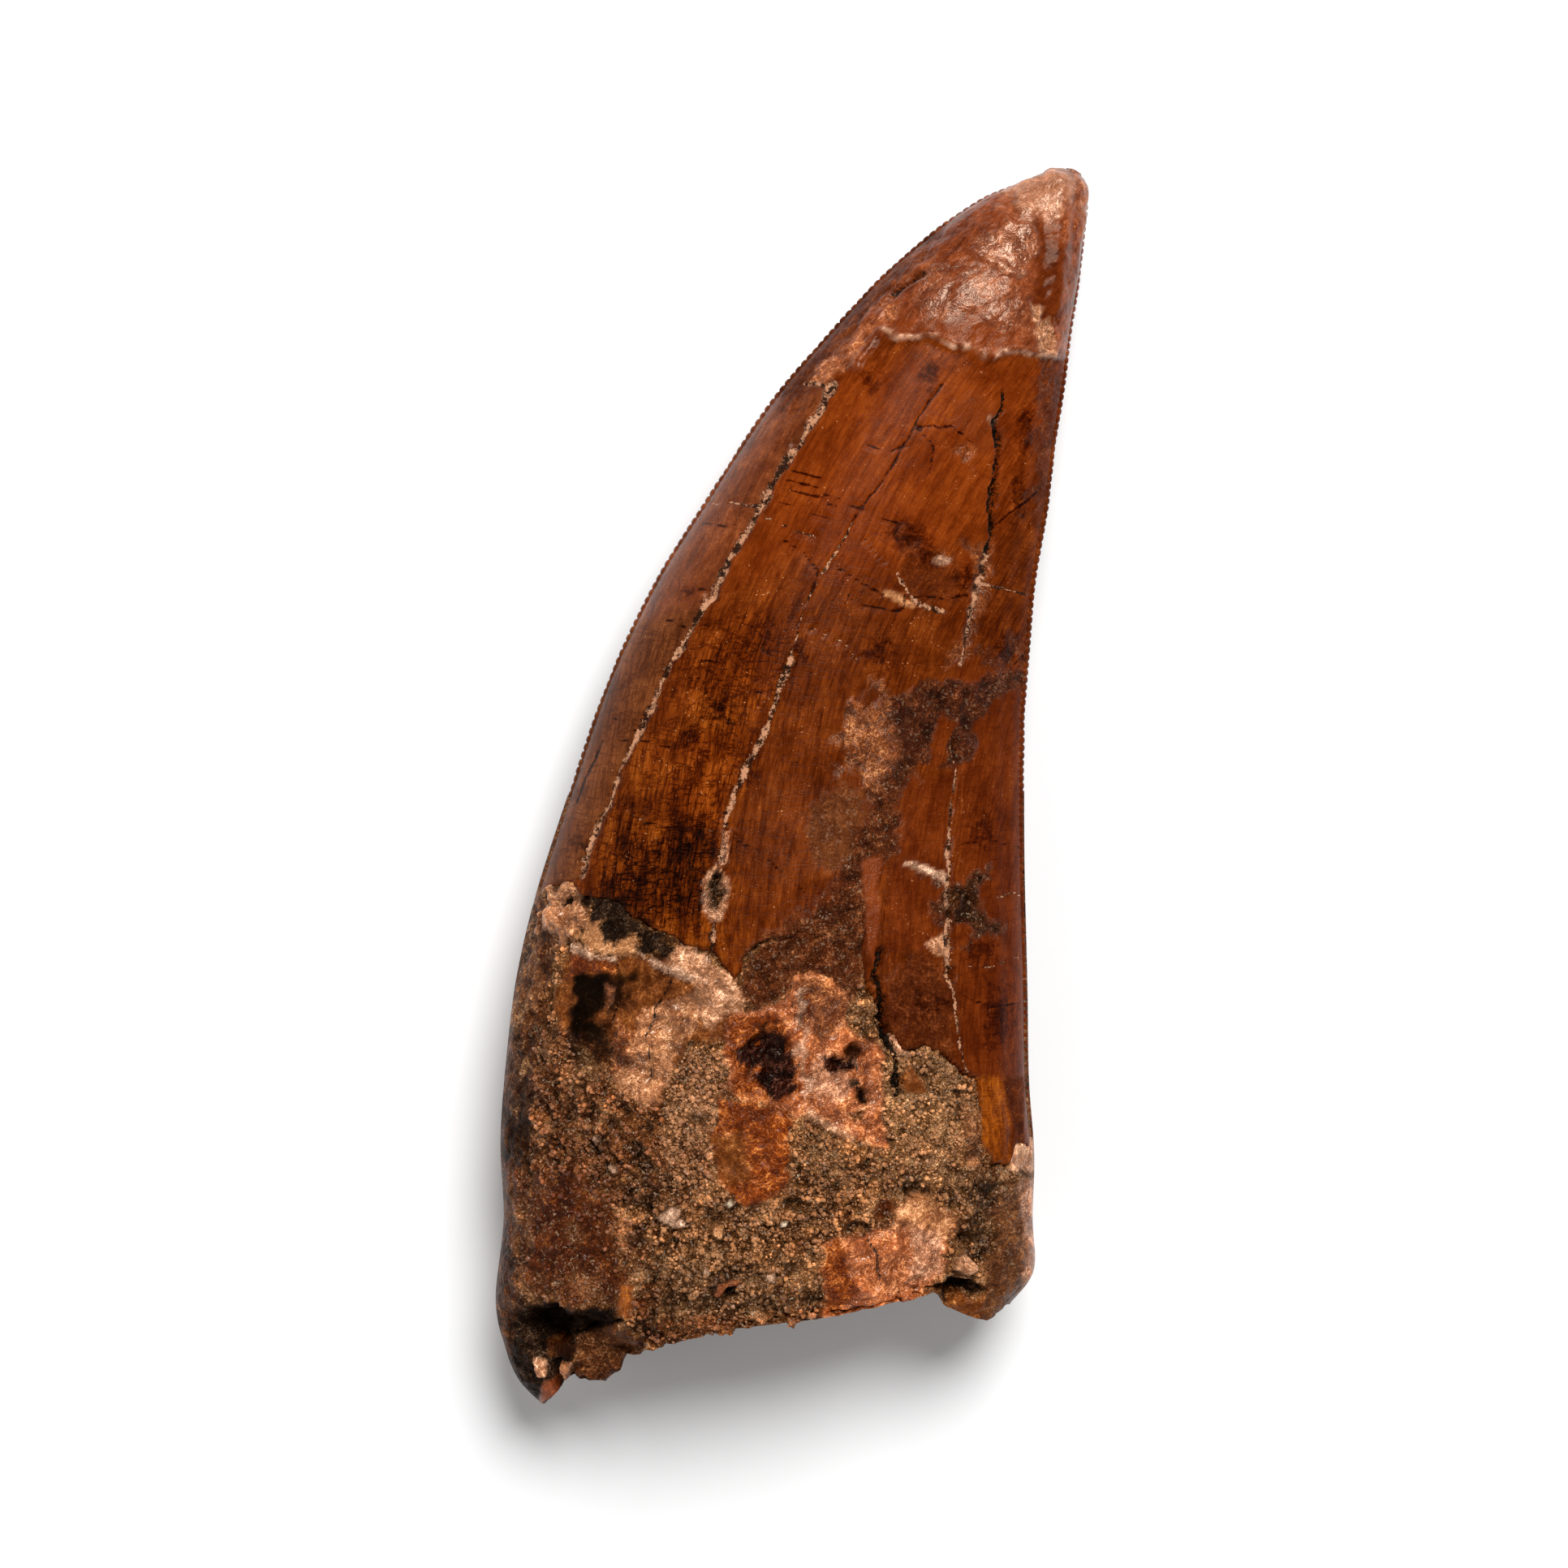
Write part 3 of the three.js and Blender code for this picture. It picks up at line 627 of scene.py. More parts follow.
# In plan: where the enamel lies, above its ragged lower border.
CROWN_REGION: Path = plotted(
    "-24 -8.8, -18.9 -8, -17.4 -7.6, -16.4 -7.2, -15.4 -8, -14.2 -8.4, -12.8 -8.8, -11.8 -9.8, "
    "-10.4 -10.3, -9.2 -11, -7.9 -11.6, -6.6 -11.7, -5.6 -12.3, -5 -13, -4.2 -14.1, -3.6 -13.4, "
    "-3.4 -12.2, -2 -11.6, 0 -11.2, 2.4 -10.6, 4 -9.2, 5 -9, 5.2 -11.6, 5 -13, 5.4 -14.4, 6.2 -16.4, "
    "6.8 -17.8, 8.2 -19.4, 9.4 -19, 10.8 -19.6, 11.6 -20.4, 12.6 -21, 13.4 -21.4, 13.9 -24, 14.1 -26.6, "
    "14.6 -28, 15.8 -28, 16.3 -26.4, 24 -26.6, 26 60, -26 60"
)
# The long crack from below the tip down the left of the crown.
LEFT_CRACK: Path = plotted(
    "2.9 29.3, 2.2 27.7, 1.3 26.2, 0.4 24.9, -0.4 23.8, -1.2 22.6, -1.8 21.4, -2.5 20.1, -3.1 18.7, "
    "-4.3 16.9, -5.1 15.4, -5.8 13.9, -6.5 12.9, -7.2 11.5, -7.8 10.6, -8.5 9.4, -9.3 8.2, -9.6 7, "
    "-10 6.1, -10.5 5.2, -11.2 4, -11.8 2.5, -12.6 1, -13.2 -1.3, -13.9 -2.3, -14.5 -3.8, -15 -5.3, "
    "-15.3 -6.9"
)
# The wrinkled plate at the tip, with the ledge that ends it.
TIP_PLATE: Path = plotted(
    "4.6 30.2, 5.6 31.6, 6.7 33.2, 7.6 32.7, 8.9 32.6, 10.3 32.7, 11.5 32.2, 13 31.9, 13.4 31.5, 14 31.1, "
    "14.7 31, 15.3 31.5, 16.3 31.8, 19.2 31.5, 24 31.6, 26 60, -4 60, -4 33, 2 31"
)


@dataclass(frozen=True)
class CrownFace:
    """What the seen face of the crown carries."""

    enamel: Stuff = ENAMEL
    patches: tuple[Patch, ...] = (
        Patch(ENAMEL_LIGHT, "-7 14, 3 32, 20 31, 17 22, 12 13, 6 15, 0 16", ragged=2.0, soft=3.0),
        Patch(ENAMEL_DEEP, "-15 -5, -13 1, -8 4.5, -4 3, -4.6 -4, -5 -13, -15 -10", ragged=1.0, soft=2.0),
        Patch(ENAMEL_WOVEN, "-10 3, -6 12, 0.4 12, -4 1, -5 -3, -9 -2", ragged=1.5, soft=2.0),
        Patch(ENAMEL_SHADED, "12 9, 17.8 9, 17.8 -27, 12 -20, 11.6 0", ragged=0.5, soft=1.0),
        Patch(ENAMEL_SHADED, "6.8 -12, 7 -5, 8.2 0.6, 11.4 0.6, 11.3 -6, 11.2 -12", ragged=0.2, soft=0.4),
        Patch(ENAMEL_SMOKY, "6.4 -20, 6.4 -13.5, 8.5 -12.6, 11.6 -13, 11.8 -20", ragged=0.8, soft=0.8),
        Patch(ENAMEL_DEEP, "-9 3.4, -6.6 6.6, -3.2 6.8, -3 4.6, -5.4 3.4", ragged=0.8, soft=0.6,
            strength=0.7),
        Patch(ENAMEL_GREY_AND_SHEEN, LEFT_CRACK + plotted("-24 -9, -24 5, -6 34, 4 34"), ragged=0.05, soft=0.12),
        Patch(ENAMEL_GREY_AND_SHEEN, "-24 -9, -15.4 -6, -12.8 0.5, -16 1.5, -20 0", soft=1.0),
        Patch(ENAMEL_GREY_AND_SHEEN, "-5 24, 0.6 26.4, 3.6 31.6, 6.4 34.6, 9.4 38.2, 12 41, 9 46, -6 34", ragged=0.5,
            soft=0.7, strength=0.85),
        Patch(TIP_BROWN, "2.9 29.3, -0.4 23.8, -3.1 18.7, -6.5 12.9, -12 12, -8 21, -2 30", ragged=0.1,
            soft=0.8, strength=0.6),
        Patch(TIP_BROWN, TIP_PLATE, rise=0.3, ragged=0.3, soft=0.14),
        Patch(ENAMEL_SMOKY, "0 27, 4.4 32.6, 9 38, 11.8 41.4, 9 45, -6 34", ragged=0.9, soft=0.9,
            strength=0.9),
        Patch(ENAMEL_ORANGE, "7.5 33.9, 10.7 33.9, 14 33.3, 15.7 32.9, 15.2 31.7, 12.8 32.1, 10.3 32.9, "
            "7.5 32.9", rise=0.3, soft=0.3, strength=0.9),
        Patch(TIP_PINK, "13.6 40, 15.7 41.3, 18.1 41.1, 18.3 39.2, 16.9 37.4, 15.7 37.2, 13.4 38.7",
            rise=0.42, ragged=0.5, strength=0.75),
        Patch(TIP_PINK, "11.8 36.6, 13.2 37.8, 16.5 37, 17.7 34.6, 16.8 33, 14 33.8, 11.8 34.5", rise=0.34,
            ragged=1.4, soft=0.5, strength=0.4),
        Patch(TIP_PINK, "9.1 36.4, 10.6 38.6, 11.4 38, 11.2 34.4, 10.2 33.7", rise=0.3, ragged=1.2,
            soft=0.4, strength=0.5),
        Patch(GLAZE_AND_PAINTED_SHEEN, "16.7 41.6, 15.8 42.8, 16.6 44.6, 19.6 45.6, 21 45.2, 20.2 43.4, 18.8 41.6",
            rise=0.45, ragged=0.8, soft=0.5, strength=0.9),
        Patch(TIP_PINK, "19.6 46, 22.5 46, 22.5 41, 21.2 41, 20.6 43.6", rise=0.4, soft=0.4, strength=0.8),
        Patch(ENAMEL_SHADED, "17.9 33.5, 17.9 38, 18.1 41.2, 19.6 41, 19.6 37, 19.4 33.5", rise=0.25,
            ragged=0.9, soft=0.5, strength=0.9),
        Patch(DENTINE, "17.7 35, 18.4 34.8, 18.6 33.2, 19.1 31.4, 17.5 31.8", rise=0.4, ragged=0.8,
            strength=0.85),
        Patch(CHIP_ORANGE, "1.1 29.4, 1.9 30.7, 3.8 32, 5.4 33.7, 6.3 33.5, 4.6 31.5, 3.5 30.1, 2.4 29.2",
            rise=0.12, ragged=0.5, soft=0.15, strength=0.75),
        Patch(CHIP_ORANGE, "6.4 33.9, 7 35, 7.9 35, 7.6 33.9", rise=0.2, ragged=0.2, soft=0.1),
        Patch(CHIP, oval(14.8, 26.5, 0.45, 0.4), rise=0.1, soft=0.12),
        Patch(SCALE, "12.4 17.4, 14.8 17.6, 14.4 14.6, 13.6 11.4, 13.2 9.2, 11.4 8.4, 11.4 9.8, 12.6 12, "
            "13 15", ragged=0.9, soft=0.4, strength=0.55),
        Patch(ENAMEL_ORANGE, "12.2 28.6, 15.8 27.4, 15.4 24.2, 13.6 24.6, 11.6 26.2", ragged=1.0, soft=0.5,
            strength=0.6),
        Patch(ENAMEL_SMOKY, "7 19.6, 9.2 17.4, 11.6 17.2, 12.2 13.4, 9.4 12.2, 7.6 15.2", ragged=1.2,
            soft=0.5, strength=0.6),
        Patch(SCALE, "4.6 5, 5.2 6.9, 7.2 6.6, 8 5.2, 8.1 3.1, 7.6 0.7, 6.6 -1.4, 4.9 -1, 4.2 1.3, 4 3.7",
            ragged=2.2, soft=0.4, strength=0.9),
        Patch(SMOOTH_EARTH, "1.9 -1.1, 3.8 -0.1, 5.4 -2, 5 -4.9, 2.5 -5.6, 1.2 -3.5", ragged=1.1, soft=0.5,
            strength=0.55),
        Patch(CRUST, "7.3 3.7, 7.6 5.8, 9.2 7, 11.2 7.7, 13.3 7.7, 15.4 8.5, 17.2 8.3, 17.1 7.3, 14.8 5.9, "
            "13.3 4, 13 2.2, 11.5 1.3, 9.8 1.6, 8.2 0.7", rise=0.12, ragged=0.9),
        Patch(CRUST, oval(15.6, 9.8, 1.7, 1), ragged=1.8, soft=0.5, strength=0.6),
        Patch(CRUST, "17.9 31.4, 19.6 31, 19 25, 18.4 19.6, 17.3 20.6, 17.5 26", ragged=1.6, soft=0.5,
            strength=0.5),
        Patch(SCALE, oval(12.8, 24, 1.1, 0.7, -20), ragged=2.0, soft=0.4, strength=0.4),
        Patch(BROWN_CRUST, "8.1 1.6, 8.8 0.4, 7.9 -1.1, 7.3 -2.6, 6.8 -4.7, 6 -7.1, 5.4 -9.4, 4 -12.4, "
            "1.3 -13.6, -3.4 -13.4, -3.4 -12, -1.6 -11.2, -0.2 -10, 1.6 -9, 3.4 -6.4, 4.6 -4.4, 5.6 -2, "
            "6.6 0.6", rise=0.08, ragged=1.2, soft=0.4),
        Patch(ENAMEL_SHADED, "9.6 1, 11.2 1.8, 11.8 4.6, 10.8 5.4, 10.2 3"),
        Patch(BLACK_MATRIX, "11.2 -6.8, 13 -6.1, 14.4 -7.1, 14.3 -9.2, 13.7 -10.9, 11.8 -10.4, 11.1 -8.9",
            rise=0.05, ragged=2.4, soft=0.6, strength=0.75),
        Patch(DENTINE, "9.6 -11.6, 10.8 -10.8, 11.3 -10.8, 11.2 -12.6, 10.2 -12.4", ragged=0.2, soft=0.1),
        Patch(CHIP, "7.4 -5.5, 9 -5.8, 11.2 -6.4, 11.3 -7.3, 9.6 -6.4", ragged=0.15, soft=0.08),
        Patch(AMBER, "13.5 -21.3, 14.8 -21.3, 15.7 -22.6, 16.1 -25.2, 15.8 -27.6, 14.4 -28.4, 13.9 -25.4, "
            "13.4 -23", rise=-0.1, ragged=0.15, soft=0.1),
        Patch(ENAMEL_SMOKY, "15.2 -21.3, 17 -21.5, 17 -26.8, 16.5 -26.6, 16.2 -24.6", ragged=0.1,
            soft=0.1),
        Patch(ENAMEL_ORANGE, "5 -5.6, 6.4 -5.2, 6.2 -9.8, 6 -12.8, 5.3 -12.2, 5.2 -10", ragged=0.2),
        Patch(DENTINE, oval(-5.55, -7.9, 0.95, 2.1, 4), rise=0.1, ragged=0.2, soft=0.08),
        Patch(BLACK_MATRIX, oval(-5.5, -7.6, 0.42, 1.5, 4), rise=-0.25, soft=0.12),
        Patch(BONE_PINK, "-5.3 -5.8, -4.7 -5.8, -4.6 -3.6, -5 -3.4", ragged=0.1, soft=0.1),
        Patch(BONE_YELLOW, oval(7.8, 13.4, 1.3, 0.3, -24), rise=0.08, soft=0.1),
        Patch(CHIP, oval(10.7, 16.3, 0.75, 0.35, -12), soft=0.1, strength=0.5),
    )
    cracks: tuple[Crack, ...] = (
        Crack(LEFT_CRACK, FILLED, 0.21, 0.16),
        Crack("10.9 29.2, 9.2 26.8, 8.5 25.3, 6.5 22, 4.3 19", HAIRLINE, 0.08, 0.05),
        Crack("4.3 19, 3.4 17.2, 2.5 15.7, 1.9 15.1, 1.3 13.6, 0.4 11.5, 0.1 10", FILLED, 0.1, 0.1),
        Crack("0.1 10, -0.4 8.2, -0.9 7, -1.6 5.2, -1.9 4, -2.5 2.8, -3 1.9, -3.8 0.1, -4.2 -0.5, "
            "-4.5 -1.7, -4.8 -2.6, -5 -4.1, -5.1 -5.4", FILLED, 0.2, 0.16),
        Crack("-5.7 -9.8, -5.8 -12.2", FILLED, 0.16, 0.12),
        Crack("15.4 28.6, 15.3 27.4, 14.8 26.5", OPEN, 0.1, 0.25),
        Crack("14.8 26.4, 15.1 25, 15 23.8, 14.7 22, 14.5 20.2, 14.7 19, 14.3 17", OPEN, 0.22, 0.7),
        Crack("14.3 17.2, 13.9 15.6, 13.5 14.2", FILLED, 0.22, 0.2),
        Crack("13.4 13.9, 13 11.8, 12.6 10.3, 12.2 8.8", FILLED, 0.22, 0.2),
        Crack("11.5 2.8, 12 1, 11.7 -1.1, 11.5 -3.2, 11.2 -5, 11.4 -6.2", FILLED, 0.16, 0.2),
        Crack("11.4 -6.2, 11.2 -8.6, 11.2 -11.6, 11.4 -13.7", FILLED, 0.18, 0.3),
        Crack("11.4 -13.7, 11.8 -15.8, 12.2 -19.4, 12.9 -21.2", FILLED, 0.1, 0.16),
        Crack("6.3 -12.2, 5.9 -13.6, 6.3 -15, 6.3 -16.2, 6.8 -18.2", OPEN, 0.3, 0.8),
        Crack("-6.4 20.7, -3.6 20.5, -2.5 20.2", FILLED, 0.08, 0.1),
        Crack("-2.4 19.7, -1.3 19.2, 0 18.5, 1.8 17.9", FILLED, 0.08, 0.14),
        Crack("0.8 29.5, 2.1 29.2, 3 29.1", FILLED, 0.09, 0.12),
        Crack("5.1 18, 6.3 16.5, 7 15.9", OPEN, 0.05, 0.1),
        Crack("9.5 37.5, 8.5 36.8, 7.3 36", OPEN, 0.17, 0.3),
        Crack("7.6 15.3, 8.5 13.7, 9.4 13, 10.9 12.6", FILLED, 0.12, 0.12),
        Crack("0.8 11.5, 2.5 10.8, 3.8 10.2, 4.8 8.8", FILLED, 0.06, 0.08),
        Crack("-13.2 -1.3, -12 -1.9, -10.7 -2.8", FILLED, 0.09, 0.14),
        Crack("-6.2 -3.1, -5.2 -3.5", FILLED, 0.09, 0.12),
        Crack("14.2 -8.3, 16.3 -8, 17.1 -8.5", FILLED, 0.06, 0.1),
        Crack("12.2 -13.1, 13.9 -13.4, 15.4 -13, 16.6 -12.7", FILLED, 0.07, 0.12),
        Crack("13.8 14.7, 15.8 14.3, 17.6 13.9", FILLED, 0.07, 0.14),
    )
    hairlines: tuple[str, ...] = (
        "14.8 19, 16.3 20.2, 18.1 21.4", "16.3 8.8, 18 10.6", "0 22.8, 3.3 22",
        "-0.4 22.2, 1.6 21.6, 4 20.3, 8 18.8", "-1.2 20.6, 0.8 19.9, 2.9 19.2",
        "9 26, 11.6 26.1, 13.3 24.8", "3.2 15.8, 5.1 14.5, 6.6 13.8",
        "3.6 14.7, 4.2 13.3, 7 12.6, 8 12.7, 8.1 13.8", "-0.8 17.8, 0.8 16.9, 1.8 15.4, 1.3 13.6",
        "-6.6 19.2, -5.1 18.9, -3.3 18.8", "-8.3 14.3, -6.4 14.2", "-9.2 12.1, -7.7 11.4",
        "-7.6 9, -5.3 8.8", "-8.2 8.4, -6.8 7.7, -6 6.3, -5.3 5.5, -4 4.2",
        "-6.2 7.8, -4 7.3, -1.8 6.4", "-6 5, -4.3 4.3", "-11.2 3.3, -8.4 2.6", "-13.3 3.5, -12 3.2",
        "-13.8 3.5, -14.5 1.9, -15.3 0.1, -15.9 -1.5", "-10.7 -2.8, -9.1 -3.1, -6.2 -3.1",
        "-4.3 -3.9, -2.4 -4.8, -0.5 -6.6, 0.8 -7.7", "8.5 13.6, 11.5 13.6, 12.8 13.9",
        "5.4 24.6, 7 24.2, 8.4 24.6", "8.9 26.2, 10.2 24.6, 10 22.6", "-13.4 5, -11.9 4.4, -11.2 3.6",
        "-1.2 21.8, 1.4 21, 3.6 19.8", "13 -15.6, 14.6 -16.2, 16.6 -16", "12 -4.4, 14.2 -4, 16.8 -4.6",
    )
    stains: tuple[Spot, ...] = spots(
        "-7 -4.6 2.6 3.2, -9.8 -6.6 2.4 2.6, -9.2 -8.6 3.6 1.8, -12.6 -7.8 1.6 1.6, -12.4 -4.6 1.4 1.6, "
        "-5.2 5.4 1.8 1.2, -7.4 3.4 1.2 1, 0.5 9.6 0.7 1.2, 7.8 18.2 1.5 1.1, 9.6 16.8 1 1.7, "
        "12.6 15 1.4 1.6, 17.2 26 0.9 2.4, 16.6 21 0.8 2.2, 10 29.8 0.8 1.4, 5.6 29.6 0.7 1.2, "
        "-7.6 14 0.6 0.5, -5.6 13.6 0.5 0.5, 13.6 -12 1.4 1.6, 9.8 -16 2.2 1.6, 15 -17 1.6 3, "
        "6.4 9.6 1.6 1.4, 15.6 9.8 1.2 1.6, -16.2 0.6 1 2, -14.4 7.2 0.8 1.2, -15.4 -4.6 1.2 1.2, "
        "14 -3.4 1.2 2, -3.2 0.8 0.8 1.2"
    )
    pits: tuple[Spot, ...] = spots(
        "0.3 25 0.5 0.4 0.5, -5.9 13.8 0.45 0.5 0.5, -3 1.8 0.3 0.45 0.4, 11.4 -13.9 0.4 0.45 0.5, "
        "-10.9 -2.2 0.4 0.3 0.25, -5.4 -8.4 0.3 0.5 0.4, -5.3 -6.6 0.35 0.4 0.4"
    )
    inner_ledge: Fold = Fold(plotted("13.3 39.1, 13.9 38.5, 15 38, 16.4 37.2, 16.9 37.4"), 0.16, 0.2)
    ledge: Fold = Fold(TIP_PLATE[2:14], 0.2, 0.25)
    groove: Fold = Fold(plotted("18.6 41.6, 18.3 38.2, 18.3 35.8, 18.5 33.2"), -0.25, 1.1)
    ridge: Fold = Fold(plotted("19.8 44.4, 19.7 41, 19.4 37, 19.2 32.2"), 0.25, 0.7)
    notch: Fold = Fold(plotted("9.6 37.5, 7.9 36.4, 6.8 35.2"), -0.4, 0.25)

    def all_cracks(self) -> tuple[Crack, ...]:
        """Return the cracks and the hairlines."""
        return self.cracks + tuple(Crack(line) for line in self.hairlines)


